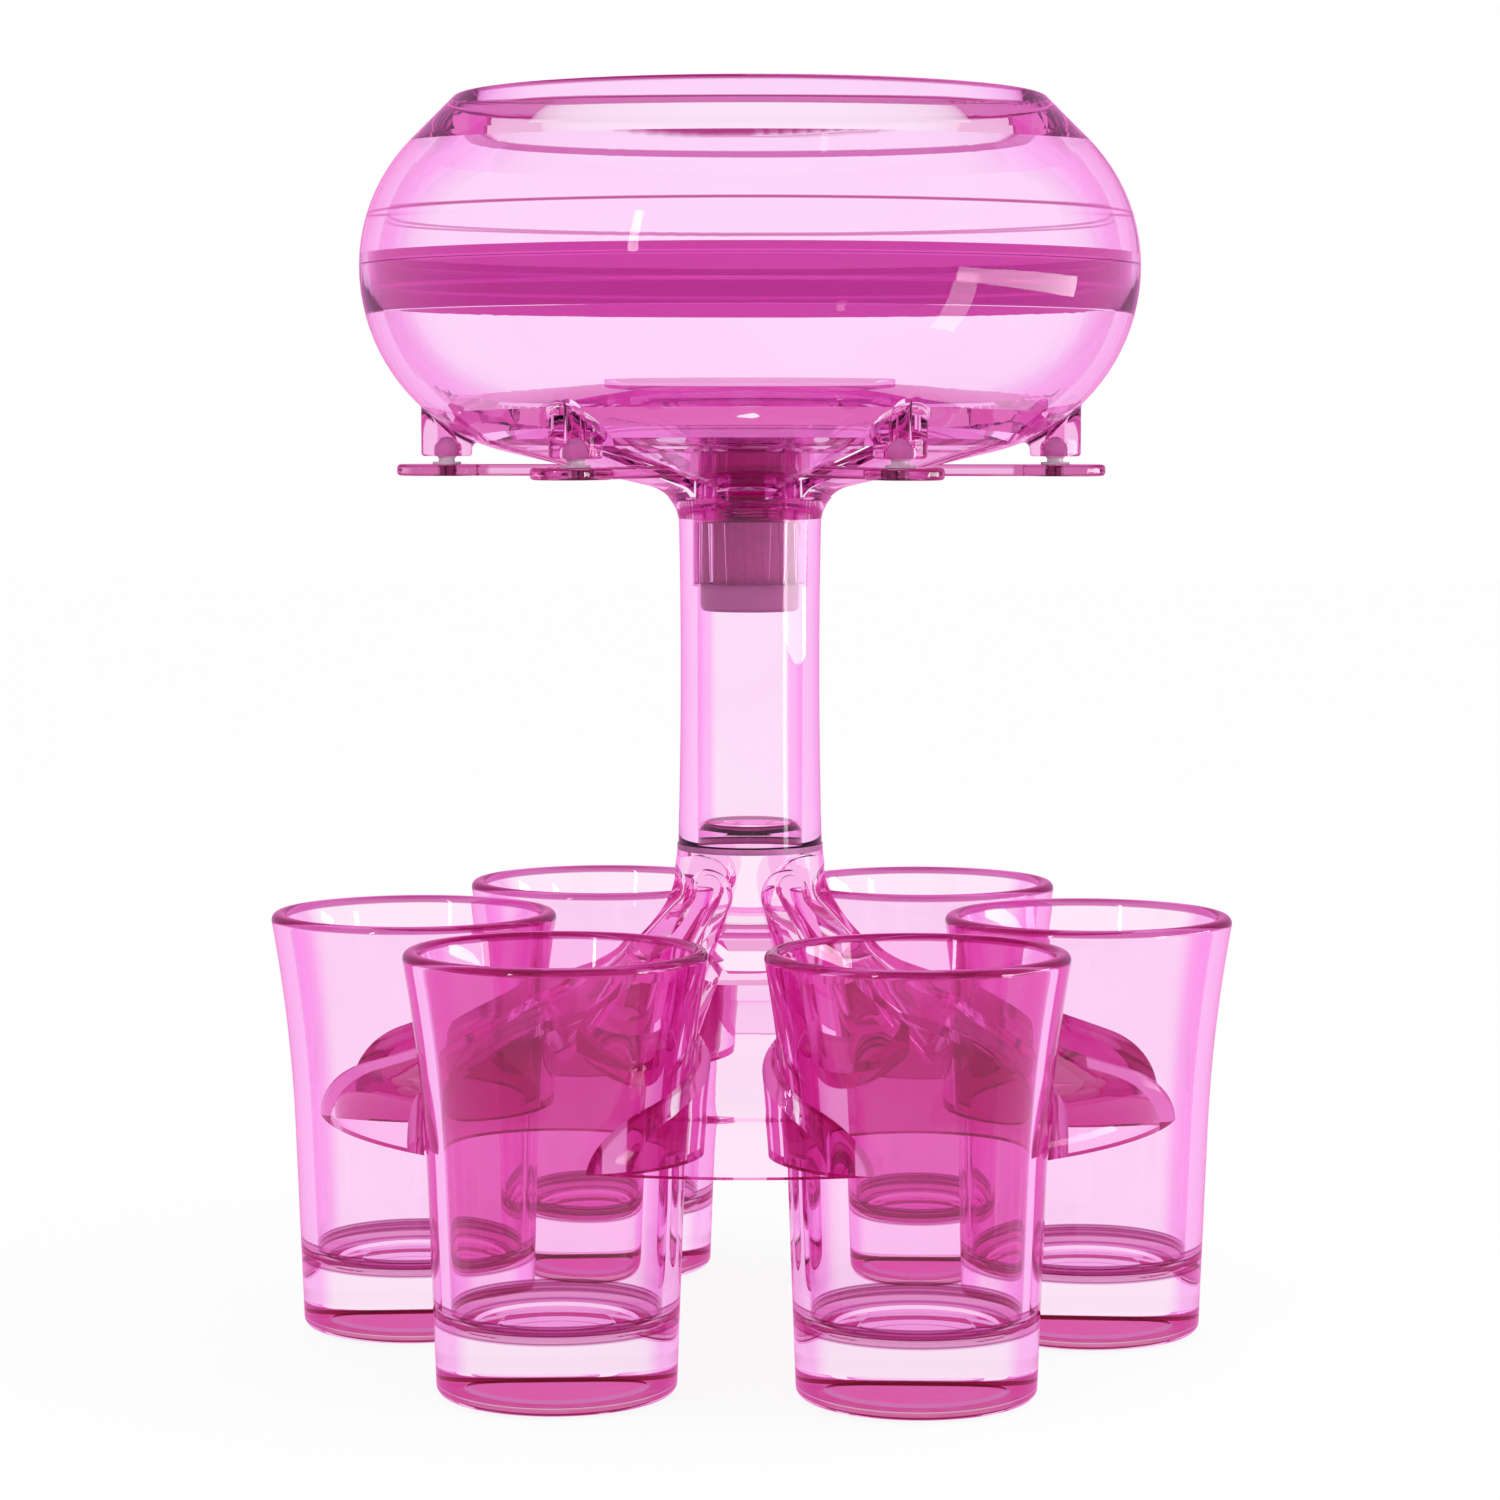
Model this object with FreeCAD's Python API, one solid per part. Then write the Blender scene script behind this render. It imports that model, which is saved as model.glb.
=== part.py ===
"""Party shot dispenser: a bowl with six valved nozzles on a neck, above a carrier that grips six shot cups.

Millimetres, +Z up. The origin is on the neck's axis, in the plane that the six cups stand on; -Y is the front.
Heights stack up from the carrier to the bowl's rim, so a longer neck lifts all that is above it, and the bowl,
the nozzles and the carrier's rim keep their distances from the circle of cup axes.
"""
import FreeCAD
import Part
import math
import os

# ---------------------------------------------------------------- driving sizes
cup_count = 6

# shot cup
cup_circle_r = 52.8
cup_height = 65.3
cup_foot_r = 17.65
cup_wall = 2.6
cup_taper_height = 32.0
cup_taper_growth = 1.2
cup_rim_growth = 3.7
cup_flare_sag = 0.6
cup_floor_z = 10.3
cup_recess_r = 14.2
cup_recess_depth = 0.8
cup_recess_round = 0.5
cup_dimple_r = 9.8
cup_dimple_depth = 1.3
cup_floor_ring_r = 12.3
cup_floor_step = 0.45
cup_rim_round = 1.15
cup_foot_round = 1.2

# cup carrier
grip_z = 35.4
grip_clearance = 0.3
grip_reach = 14.5
carrier_wall = 2.4
carrier_slope = 19.0
carrier_shoulder_round = 9.4
carrier_flare_round = 22.0
carrier_top_r = 11.35
carrier_collar_height = 14.55
carrier_collar_growth = 1.55
carrier_plug_height = 4.4
carrier_plug_round = 1.6
carrier_core_r = 18.0
carrier_core_height = 19.9
scoop_top_r = 4.3
scoop_bottom_r = 8.0
scoop_drop = 6.3
scoop_angle = 41.0
scoop_length = 27.0

# neck
neck_length = 50.6
neck_foot_r = 11.2
neck_waist_r = 10.8
neck_head_r = 11.05
neck_bore_r = 8.2
neck_socket_depth = 10.3
joint_ring_thickness = 0.9

# spigot plug, plunger and spring
sleeve_r = 8.75
sleeve_fit = 0.2
sleeve_length = 9.4
sleeve_bottom_gap = 0.3
spigot_r = 7.7
spigot_length = 4.3
spigot_round = 1.0
flute_count = 20
flute_top_r = 0.8
flute_bottom_r = 0.45
guide_neck_r = 7.6
guide_neck_height = 6.3
spring_bore_r = 5.6
plug_floor = 2.4
running_gap = 0.08
hub_wall = 1.6
hub_height = 7.9
hub_cap = 1.8
plunger_r = 5.2
plunger_length = 8.6
pin_r = 3.0
pin_length = 10.0
spring_wire_r = 0.45
spring_coil_r = 4.1
spring_turns = 9
spring_seat_thickness = 0.7
spring_seat_hole_r = 1.5

# skirt under the bowl
skirt_wall = 2.0
skirt_collar_height = 3.9
skirt_slope = 13.5
throat_round = 6.2
throat_floor_height = 3.25
throat_floor_margin = 1.85
skirt_nozzle_gap = 1.8
skirt_bed_gap = 0.3
seat_gap = 0.05

# bowl
belly_r = 29.0
belly_inset = 21.6
bowl_wall = 2.8
floor_wall = 2.4
floor_disc_inset = 19.0
floor_disc_step = 0.8
hub_headroom = 3.2
seam_rise = 0.35
seal_ring_wall = 1.0
seal_ring_below = 7.2
seal_ring_above = 1.5
seal_groove_gap = 0.05
mouth_offset = 12.2
shoulder_r = 27.5
rim_slope = 45.0
rim_width = 2.04
rim_drop = 4.15
rim_round = 0.9

# nozzles, valve plate and seal plugs
nozzle_inset = 5.55
nozzle_r = 3.95
nozzle_root_round = 1.0
nozzle_tip_round = 0.5
nozzle_plate_gap = 1.25
nozzle_outlet_r = 1.4
valve_travel = 3.0
plate_thickness = 1.8
plate_round = 0.6
arm_width = 5.0
tab_width = 10.4
tab_length = 13.3
tab_offset = 1.1
plug_head_r = 1.9
plug_stem_r = 1.25
plug_flange_r = 2.2
plug_flange = 0.35
plug_entry = 3.0
plug_fit = 0.1

# ---------------------------------------------------------------- heights and radii that follow
pitch_angle = 360.0 / cup_count
slope_tan = math.tan(math.radians(carrier_slope))
skirt_tan = math.tan(math.radians(skirt_slope))

nozzle_circle_r = cup_circle_r - nozzle_inset
carrier_rim_r = cup_circle_r + grip_reach
skirt_rim_r = nozzle_circle_r - nozzle_r - skirt_nozzle_gap
floor_disc_r = skirt_rim_r - floor_disc_inset
belly_centre_r = cup_circle_r - belly_inset
mouth_r = belly_centre_r + mouth_offset

shoulder_corner_z = grip_z + carrier_shoulder_round * math.tan(math.radians(45.0 - carrier_slope / 2))
collar_corner_r = carrier_top_r + carrier_collar_growth
collar_corner_z = shoulder_corner_z + (carrier_rim_r - collar_corner_r) * slope_tan
carrier_top_z = collar_corner_z + carrier_collar_height
carrier_core_z = carrier_top_z - carrier_core_height

neck_bottom_z = carrier_top_z + joint_ring_thickness
neck_top_z = neck_bottom_z + neck_length
neck_socket_z = neck_top_z - neck_socket_depth
neck_socket_r = sleeve_r + sleeve_fit

skirt_bottom_z = neck_top_z + seat_gap
skirt_corner_z = skirt_bottom_z + skirt_collar_height
throat_floor_z = skirt_bottom_z + throat_floor_height
throat_floor_r = sleeve_r + throat_floor_margin

tangent_r = belly_centre_r + belly_r * math.sin(math.radians(skirt_slope))
tangent_z = skirt_corner_z + (tangent_r - neck_head_r) * skirt_tan
belly_z = tangent_z + belly_r * math.cos(math.radians(skirt_slope))
seam_z = belly_z + seam_rise
rim_corner_r = mouth_r + rim_width
slope_start_r = belly_centre_r + belly_r - shoulder_r * (1.0 - math.sin(math.radians(rim_slope)))
slope_start_z = belly_z + shoulder_r * math.cos(math.radians(rim_slope))
rim_z = slope_start_z + (slope_start_r - rim_corner_r) * math.tan(math.radians(rim_slope))

plate_bottom_z = throat_floor_z + valve_travel + skirt_bed_gap
plate_top_z = plate_bottom_z + plate_thickness
hub_top_z = plate_bottom_z + hub_height
hub_bore_r = guide_neck_r + running_gap
hub_r = hub_bore_r + hub_wall
floor_disc_z = hub_top_z + hub_headroom + floor_wall
nozzle_tip_z = plate_top_z + nozzle_plate_gap
dome_centre_z = nozzle_tip_z + plug_entry - plug_head_r

sleeve_bottom_z = neck_socket_z + sleeve_bottom_gap
sleeve_top_z = sleeve_bottom_z + sleeve_length
spigot_bottom_z = sleeve_bottom_z - spigot_length
spring_seat_z = spigot_bottom_z + plug_floor
spring_bottom_z = spring_seat_z + spring_seat_thickness
plunger_bottom_z = hub_top_z - hub_cap - plunger_length

origin = FreeCAD.Vector(0, 0, 0)
up = FreeCAD.Vector(0, 0, 1)


# ---------------------------------------------------------------- helpers
def rounded_corner(before, corner, after, radius):
    """Start, middle and end of the arc that rounds a corner of an outline with the given radius."""
    first = (before - corner).normalize()
    second = (after - corner).normalize()
    half_angle = first.getAngle(second) / 2
    reach = radius / math.tan(half_angle)
    bisector = (first + second).normalize()
    middle = corner + bisector * (radius / math.sin(half_angle) - radius)
    return corner + first * reach, middle, corner + second * reach


def turned(corners):
    """Solid turned about Z from a closed outline of corners (r, z) or (r, z, rounding radius)."""
    points = [FreeCAD.Vector(corner[0], 0, corner[1]) for corner in corners]
    edges = []
    starts = []
    ends = []
    arcs = []
    for index, corner in enumerate(corners):
        if len(corner) == 3:
            neighbours = points[index - 1], points[(index + 1) % len(points)]
            start, middle, end = rounded_corner(neighbours[0], points[index], neighbours[1], corner[2])
            arcs.append(Part.Arc(start, middle, end).toShape())
        else:
            start = end = points[index]
            arcs.append(None)
        starts.append(start)
        ends.append(end)
    for index in range(len(corners)):
        if arcs[index]:
            edges.append(arcs[index])
        following = starts[(index + 1) % len(corners)]
        if ends[index].distanceToPoint(following) > 1e-6:
            edges.append(Part.LineSegment(ends[index], following).toShape())
    return Part.Face(Part.Wire(edges)).revolve(origin, up, 360)


def turned_edges(edges):
    """Solid turned about Z from the edges of a closed outline in the XZ plane."""
    return Part.Face(Part.Wire(edges)).revolve(origin, up, 360)


def run(start, end):
    """Straight edge between two (r, z) points."""
    points = [FreeCAD.Vector(r, 0, z) for r, z in (start, end)]
    return Part.LineSegment(*points).toShape()


def bend(start, middle, end):
    """Arc edge through three (r, z) points."""
    points = [FreeCAD.Vector(r, 0, z) for r, z in (start, middle, end)]
    return Part.Arc(*points).toShape()


def cylinder(radius, bottom_z, top_z, r=0.0, angle=0.0):
    """Upright cylinder whose axis stands at the polar place (r, angle in degrees)."""
    return Part.makeCylinder(radius, top_z - bottom_z, polar(r, angle, bottom_z), up)


def polar(r, angle, z):
    """Point at radius r and angle in degrees about Z."""
    return FreeCAD.Vector(r * math.cos(math.radians(angle)), r * math.sin(math.radians(angle)), z)


def turned_to(shape, angle):
    """Copy of a shape turned about Z."""
    copy = shape.copy()
    copy.rotate(origin, up, angle)
    return copy


def ring_of(shape):
    """A copy of the shape at each cup's angle, the first one at angle 0."""
    return [turned_to(shape, index * pitch_angle) for index in range(cup_count)]


def circle_edges(shape, radius, z):
    """The full-circle edges of a shape that have the given radius and height."""
    return [
        edge
        for edge in shape.Edges
        if isinstance(edge.Curve, Part.Circle)
        and abs(edge.Curve.Radius - radius) < 1e-4
        and abs(edge.Curve.Center.z - z) < 1e-4
    ]


# ---------------------------------------------------------------- shot cups
def cup_outer_side(growth):
    """Outer side of a cup, from the bottom up, as points (r, z) moved outwards by growth."""
    taper_top_r = cup_foot_r + cup_taper_growth
    rim_r = taper_top_r + cup_rim_growth
    bottom = cup_foot_r + growth, 0.0
    taper_top = taper_top_r + growth, cup_taper_height
    rim = rim_r + growth, cup_height
    flare_middle = (taper_top[0] + rim[0]) / 2 - cup_flare_sag, (taper_top[1] + rim[1]) / 2
    return bottom, taper_top, flare_middle, rim


def cup_inner_r(z):
    """Inner radius of the cup's tapered part at a height."""
    return cup_foot_r + cup_taper_growth * z / cup_taper_height - cup_wall


def shot_cup():
    """One cup on the Z axis: flared wall, thick solid base with a stepped recess below, stepped inner floor."""
    bottom, taper_top, flare_middle, rim = cup_outer_side(0.0)
    inner = cup_outer_side(-cup_wall)
    wall = turned_edges([
        run((0.0, 0.0), bottom),
        run(bottom, taper_top),
        bend(taper_top, flare_middle, rim),
        run(rim, inner[3]),
        bend(inner[3], inner[2], inner[1]),
        run(inner[1], (cup_inner_r(cup_floor_z), cup_floor_z)),
        run((cup_inner_r(cup_floor_z), cup_floor_z), (0.0, cup_floor_z)),
        run((0.0, cup_floor_z), (0.0, 0.0)),
    ])
    wall = wall.cut(cylinder(cup_floor_ring_r, cup_floor_z - cup_floor_step, cup_floor_z + 1.0))
    wall = wall.cut(cylinder(cup_recess_r, -1.0, cup_recess_depth))
    wall = wall.cut(cylinder(cup_dimple_r, -1.0, cup_dimple_depth))
    rim_edges = circle_edges(wall, rim[0], cup_height) + circle_edges(wall, inner[3][0], cup_height)
    wall = wall.makeFillet(cup_rim_round, rim_edges)
    wall = wall.makeFillet(cup_foot_round, circle_edges(wall, cup_foot_r, 0.0))
    return wall.makeFillet(cup_recess_round, circle_edges(wall, cup_recess_r, cup_recess_depth))


# ---------------------------------------------------------------- cup carrier
def carrier_bell(inset):
    """Bell of the carrier, from its collar over the shoulder, with its surface moved inwards by inset."""
    slope_shift = inset / math.cos(math.radians(carrier_slope))
    corner_r = collar_corner_r - inset
    corner_z = collar_corner_z + inset * slope_tan - slope_shift
    top_z = carrier_top_z - inset
    top_r = corner_r - carrier_collar_growth * (top_z - corner_z) / carrier_collar_height
    rim_r = carrier_rim_r - inset
    shoulder_z = shoulder_corner_z + inset * slope_tan - slope_shift
    return turned([
        (0.0, grip_z),
        (rim_r, grip_z),
        (rim_r, shoulder_z, carrier_shoulder_round - inset),
        (corner_r, corner_z, carrier_flare_round + inset),
        (top_r, top_z),
        (0.0, top_z),
    ])


def cup_pocket(growth):
    """Room for one cup in the carrier: the cup's own side moved outwards by growth, open above and below."""
    bottom, taper_top, flare_middle, rim = cup_outer_side(growth)
    above = neck_top_z
    room = turned_edges([
        run((0.0, 0.0), bottom),
        run(bottom, taper_top),
        bend(taper_top, flare_middle, rim),
        run(rim, (rim[0], above)),
        run((rim[0], above), (0.0, above)),
        run((0.0, above), (0.0, 0.0)),
    ])
    room.translate(FreeCAD.Vector(cup_circle_r, 0, 0))
    return room


def scoop(growth):
    """Flute down the bell into a pocket: a widening cone with a ball at its top, grown all round."""
    top = FreeCAD.Vector(collar_corner_r, 0, carrier_top_z - scoop_drop)
    tilt = math.radians(scoop_angle)
    downhill = FreeCAD.Vector(math.cos(tilt), 0, -math.sin(tilt))
    spread = (scoop_bottom_r - scoop_top_r) / scoop_length
    end_r = scoop_bottom_r + growth + spread * growth
    cone = Part.makeCone(scoop_top_r + growth, end_r, scoop_length + growth, top, downhill)
    return cone.fuse(Part.makeSphere(scoop_top_r + growth, top))


def cup_carrier():
    """Thin bell round a solid core, with six gripping pockets, six flutes, and a plug for the neck on top."""
    bell = carrier_bell(0.0)
    bell = bell.fuse(turned([
        (0.0, carrier_top_z - 1.0),
        (neck_bore_r - running_gap, carrier_top_z - 1.0),
        (neck_bore_r - running_gap, carrier_top_z + carrier_plug_height, carrier_plug_round),
        (0.0, carrier_top_z + carrier_plug_height),
    ]))
    hollow = carrier_bell(carrier_wall)
    hollow = hollow.fuse(cylinder(carrier_rim_r - carrier_wall, grip_z - 1.0, grip_z))
    core = cylinder(carrier_core_r, carrier_core_z, carrier_top_z)
    rooms = ring_of(cup_pocket(grip_clearance)) + ring_of(scoop(0.0))
    thick_rooms = ring_of(cup_pocket(grip_clearance + carrier_wall)) + ring_of(scoop(carrier_wall))
    return bell.cut(rooms).cut(hollow.cut(thick_rooms + [core]))


# ---------------------------------------------------------------- neck
def joint_ring():
    """Flat sealing ring between the carrier and the neck."""
    ring = cylinder(carrier_top_r, carrier_top_z, neck_bottom_z)
    return ring.cut(cylinder(neck_bore_r, carrier_top_z, neck_bottom_z))


def neck_tube():
    """Slightly waisted tube, with a wider socket at its top for the bowl's sleeve."""
    foot = neck_foot_r, neck_bottom_z
    waist = neck_waist_r, (neck_bottom_z + neck_top_z) / 2
    head = neck_head_r, neck_top_z
    tube = turned_edges([
        run((0.0, neck_bottom_z), foot),
        bend(foot, waist, head),
        run(head, (0.0, neck_top_z)),
        run((0.0, neck_top_z), (0.0, neck_bottom_z)),
    ])
    tube = tube.cut(cylinder(neck_bore_r, neck_bottom_z, neck_top_z))
    return tube.cut(cylinder(neck_socket_r, neck_socket_z, neck_top_z))


# ---------------------------------------------------------------- spigot plug, plunger and spring
def spigot_plug():
    """Plug under the bowl: plain spigot, fluted sleeve in the skirt's throat, and the valve's guide neck."""
    guide_top_z = throat_floor_z + guide_neck_height
    plug = turned([
        (0.0, spigot_bottom_z),
        (spigot_r, spigot_bottom_z, spigot_round),
        (spigot_r, sleeve_bottom_z),
        (sleeve_r, sleeve_bottom_z),
        (sleeve_r, throat_floor_z),
        (guide_neck_r, throat_floor_z),
        (guide_neck_r, guide_top_z),
        (spring_bore_r, guide_top_z),
        (spring_bore_r, spring_seat_z),
        (0.0, spring_seat_z),
    ])
    flute = Part.makeCone(
        flute_bottom_r, flute_top_r, sleeve_length, FreeCAD.Vector(sleeve_r, 0, sleeve_bottom_z), up
    )
    flutes = [turned_to(flute, index * 360.0 / flute_count) for index in range(flute_count)]
    return plug.cut(flutes)


def spring_seat():
    """Washer under the spring."""
    washer = cylinder(spring_bore_r - running_gap, spring_seat_z, spring_bottom_z)
    return washer.cut(cylinder(spring_seat_hole_r, spring_seat_z, spring_bottom_z))


def valve_spring():
    """Coil spring that pushes the plunger, and with it the valve plate, up."""
    coil_bottom_z = spring_bottom_z + spring_wire_r + running_gap
    coil_top_z = plunger_bottom_z - spring_wire_r - running_gap
    coil_height = coil_top_z - coil_bottom_z
    path = Part.Wire(Part.makeHelix(coil_height / spring_turns, coil_height, spring_coil_r).Edges)
    path.translate(FreeCAD.Vector(0, 0, coil_bottom_z))
    start = FreeCAD.Vector(spring_coil_r, 0, coil_bottom_z)
    section = Part.Wire(Part.makeCircle(spring_wire_r, start, FreeCAD.Vector(0, 1, 0)))
    return path.makePipeShell([section], True, True)


def plunger():
    """Cap pressed into the hub, with a shoulder on the spring and a pin through it."""
    cap_bottom_z = hub_top_z - hub_cap
    return turned([
        (0.0, hub_top_z),
        (hub_bore_r, hub_top_z),
        (hub_bore_r, cap_bottom_z),
        (plunger_r, cap_bottom_z),
        (plunger_r, plunger_bottom_z),
        (pin_r, plunger_bottom_z),
        (pin_r, plunger_bottom_z - pin_length, pin_r / 3),
        (0.0, plunger_bottom_z - pin_length),
    ])


# ---------------------------------------------------------------- valve plate and seal plugs
def valve_plate():
    """Hub sleeve with six arms that end in oval tabs, one under each nozzle."""
    tab_centre_r = nozzle_circle_r + tab_offset
    half_straight = (tab_length - tab_width) / 2
    blank = cylinder(hub_r, plate_bottom_z, plate_top_z)
    arm = Part.makeBox(
        tab_centre_r, arm_width, plate_thickness, FreeCAD.Vector(0, -arm_width / 2, plate_bottom_z)
    )
    tab = Part.makeBox(
        2 * half_straight, tab_width, plate_thickness,
        FreeCAD.Vector(tab_centre_r - half_straight, -tab_width / 2, plate_bottom_z),
    )
    for side in (-1, 1):
        end = cylinder(tab_width / 2, plate_bottom_z, plate_top_z, tab_centre_r + side * half_straight)
        tab = tab.fuse(end)
    plate = blank.fuse(ring_of(arm.fuse(tab))).removeSplitter()
    level_edges = [
        edge
        for edge in plate.Edges
        if abs(edge.BoundBox.ZMax - edge.BoundBox.ZMin) < 1e-4
    ]
    plate = plate.makeFillet(plate_round, level_edges)
    plate = plate.fuse(cylinder(hub_r, plate_bottom_z, hub_top_z))
    plate = plate.cut(cylinder(hub_bore_r, plate_bottom_z, hub_top_z))
    holes = ring_of(cylinder(plug_stem_r, plate_bottom_z, plate_top_z, nozzle_circle_r))
    return plate.cut(holes)


def seal_plug():
    """Mushroom plug at angle 0: stem in the tab's hole, flange on the tab, domed head in the nozzle."""
    plug = turned([
        (0.0, plate_bottom_z + plate_round),
        (plug_stem_r, plate_bottom_z + plate_round),
        (plug_stem_r, plate_top_z),
        (plug_flange_r, plate_top_z),
        (plug_flange_r, plate_top_z + plug_flange),
        (plug_stem_r, plate_top_z + plug_flange),
        (plug_stem_r, nozzle_tip_z),
        (plug_head_r, nozzle_tip_z),
        (plug_head_r, dome_centre_z),
        (0.0, dome_centre_z),
    ])
    plug = plug.fuse(Part.makeSphere(plug_head_r, FreeCAD.Vector(0, 0, dome_centre_z))).removeSplitter()
    plug.translate(FreeCAD.Vector(nozzle_circle_r, 0, 0))
    return plug


# ---------------------------------------------------------------- skirt
def belly_at_angle(angle, inset=0.0, curve_r=belly_r):
    """Point (r, z) of the bowl's round side at an angle above its widest line, moved inwards by inset."""
    centre_r = belly_centre_r + belly_r - curve_r
    radius = curve_r - inset
    return (
        centre_r + radius * math.cos(math.radians(angle)),
        belly_z + radius * math.sin(math.radians(angle)),
    )


def belly_angle_at_r(r, inset=0.0):
    """Angle above the widest line at which the lower round side has radius r."""
    return -math.degrees(math.acos((r - belly_centre_r) / (belly_r - inset)))


def belly_angle_at_z(z, inset=0.0, curve_r=belly_r):
    """Angle above the widest line at which the round side has height z."""
    return math.degrees(math.asin((z - belly_z) / (curve_r - inset)))


def skirt():
    """Trumpet that carries on the bowl's round side down to the neck, cut by a slot for each valve arm."""
    rim_angle = belly_angle_at_r(skirt_rim_r)
    tangent_angle = skirt_slope - 90.0
    rim = belly_at_angle(rim_angle)
    rim_inner = skirt_rim_r, rim[1] + skirt_wall / math.cos(math.radians(90.0 + rim_angle))
    tangent = belly_at_angle(tangent_angle)
    tangent_inner = belly_at_angle(tangent_angle, skirt_wall)
    corner = FreeCAD.Vector(neck_head_r, 0, skirt_corner_z)
    below = FreeCAD.Vector(neck_head_r, 0, skirt_bottom_z - throat_round)
    uphill = FreeCAD.Vector(tangent[0], 0, tangent[1])
    throat_start, throat_middle, throat_end = rounded_corner(below, corner, uphill, throat_round)
    inner_slope_z = tangent_inner[1] - (tangent_inner[0] - throat_floor_r) * skirt_tan
    outer = turned_edges([
        bend(rim, belly_at_angle((rim_angle + tangent_angle) / 2), tangent),
        run(tangent, (throat_end.x, throat_end.z)),
        bend(*[(point.x, point.z) for point in (throat_end, throat_middle, throat_start)]),
        run((throat_start.x, throat_start.z), (0.0, throat_start.z)),
        run((0.0, throat_start.z), (0.0, rim_inner[1])),
        run((0.0, rim_inner[1]), rim_inner),
        run(rim_inner, rim),
    ])
    outer = outer.cut(cylinder(2 * neck_head_r, throat_start.z - 1.0, skirt_bottom_z))
    inner_middle = belly_at_angle((rim_angle + tangent_angle) / 2, skirt_wall)
    inner = turned_edges([
        bend(rim_inner, inner_middle, tangent_inner),
        run(tangent_inner, (throat_floor_r, inner_slope_z)),
        run((throat_floor_r, inner_slope_z), (throat_floor_r, throat_floor_z)),
        run((throat_floor_r, throat_floor_z), (0.0, throat_floor_z)),
        run((0.0, throat_floor_z), (0.0, rim_inner[1])),
        run((0.0, rim_inner[1]), rim_inner),
    ])
    slot_width = arm_width + 2 * skirt_bed_gap
    slot = Part.makeBox(
        skirt_rim_r, slot_width, rim_inner[1] - throat_floor_z,
        FreeCAD.Vector(throat_floor_r - 1.0, -slot_width / 2, throat_floor_z),
    )
    bored = outer.cut(inner).cut(cylinder(sleeve_r, skirt_bottom_z, throat_floor_z))
    return bored.cut(ring_of(slot))


# ---------------------------------------------------------------- bowl
def seal_ring(gap):
    """Upright ring inside the bowl's wall that spans the seam, grown by gap each way."""
    bottom_z = seam_z - seal_ring_below
    top_z = seam_z + seal_ring_above
    outer_at_bottom = belly_at_angle(belly_angle_at_z(bottom_z))[0]
    outer_at_seam = belly_at_angle(belly_angle_at_z(seam_z))[0]
    middle_r = (outer_at_bottom + outer_at_seam - bowl_wall) / 2
    ring = cylinder(middle_r + seal_ring_wall / 2 + gap, bottom_z - gap, top_z + gap)
    return ring.cut(cylinder(middle_r - seal_ring_wall / 2 - gap, bottom_z - gap, top_z + gap))


def bowl_top():
    """Upper half of the bowl, from the seam up over the shoulder and a straight slope to the mouth."""
    start = belly_angle_at_z(seam_z, 0.0, shoulder_r)
    inner_start = belly_angle_at_z(seam_z, bowl_wall, shoulder_r)
    end = 90.0 - rim_slope
    slope_start = slope_start_r, slope_start_z
    inner_slope_start = belly_at_angle(end, bowl_wall, shoulder_r)
    middle = belly_at_angle((start + end) / 2, 0.0, shoulder_r)
    inner_middle = belly_at_angle((inner_start + end) / 2, bowl_wall, shoulder_r)
    seam_outer = belly_at_angle(start, 0.0, shoulder_r)
    seam_inner = belly_at_angle(inner_start, bowl_wall, shoulder_r)
    lip = mouth_r, rim_z - rim_drop
    shell = turned_edges([
        bend(seam_outer, middle, slope_start),
        run(slope_start, (rim_corner_r, rim_z)),
        run((rim_corner_r, rim_z), (mouth_r, rim_z)),
        run((mouth_r, rim_z), lip),
        run(lip, inner_slope_start),
        bend(inner_slope_start, inner_middle, seam_inner),
        run(seam_inner, seam_outer),
    ])
    edges = circle_edges(shell, rim_corner_r, rim_z) + circle_edges(shell, mouth_r, rim_z)
    return shell.makeFillet(rim_round, edges).cut(seal_ring(seal_groove_gap))


def nozzle():
    """Solid of one nozzle at angle 0, from its tip up to the middle of the bowl's wall."""
    inset = bowl_wall / 2
    seam_angle = belly_angle_at_z(seam_z, inset)
    valley_angle = belly_angle_at_r(nozzle_circle_r, inset)
    seam = belly_at_angle(seam_angle, inset)
    valley = belly_at_angle(valley_angle, inset)
    floor_edge = floor_disc_r, floor_disc_z - inset
    inside = turned_edges([
        bend(seam, belly_at_angle((seam_angle + valley_angle) / 2, inset), valley),
        run(valley, floor_edge),
        run(floor_edge, (floor_disc_r, seam_z)),
        run((floor_disc_r, seam_z), seam),
    ])
    spout = cylinder(nozzle_r, nozzle_tip_z, seam_z, nozzle_circle_r)
    spout = spout.makeFillet(nozzle_tip_round, circle_edges(spout, nozzle_r, nozzle_tip_z))
    # the seam of the round face turns to the neck, away from the highest point of the root
    spout.rotate(polar(nozzle_circle_r, 0, 0), up, 180)
    return spout.cut(inside)


def nozzle_bore():
    """Way through one nozzle at angle 0: a seat for the plug's dome, then a narrower hole into the bowl."""
    seat_r = plug_head_r + plug_fit
    bore = cylinder(seat_r, nozzle_tip_z - 1.0, dome_centre_z, nozzle_circle_r)
    dome = Part.makeSphere(seat_r, FreeCAD.Vector(nozzle_circle_r, 0, dome_centre_z))
    outlet = cylinder(nozzle_outlet_r, dome_centre_z, belly_z, nozzle_circle_r)
    return bore.fuse([dome, outlet])


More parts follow.
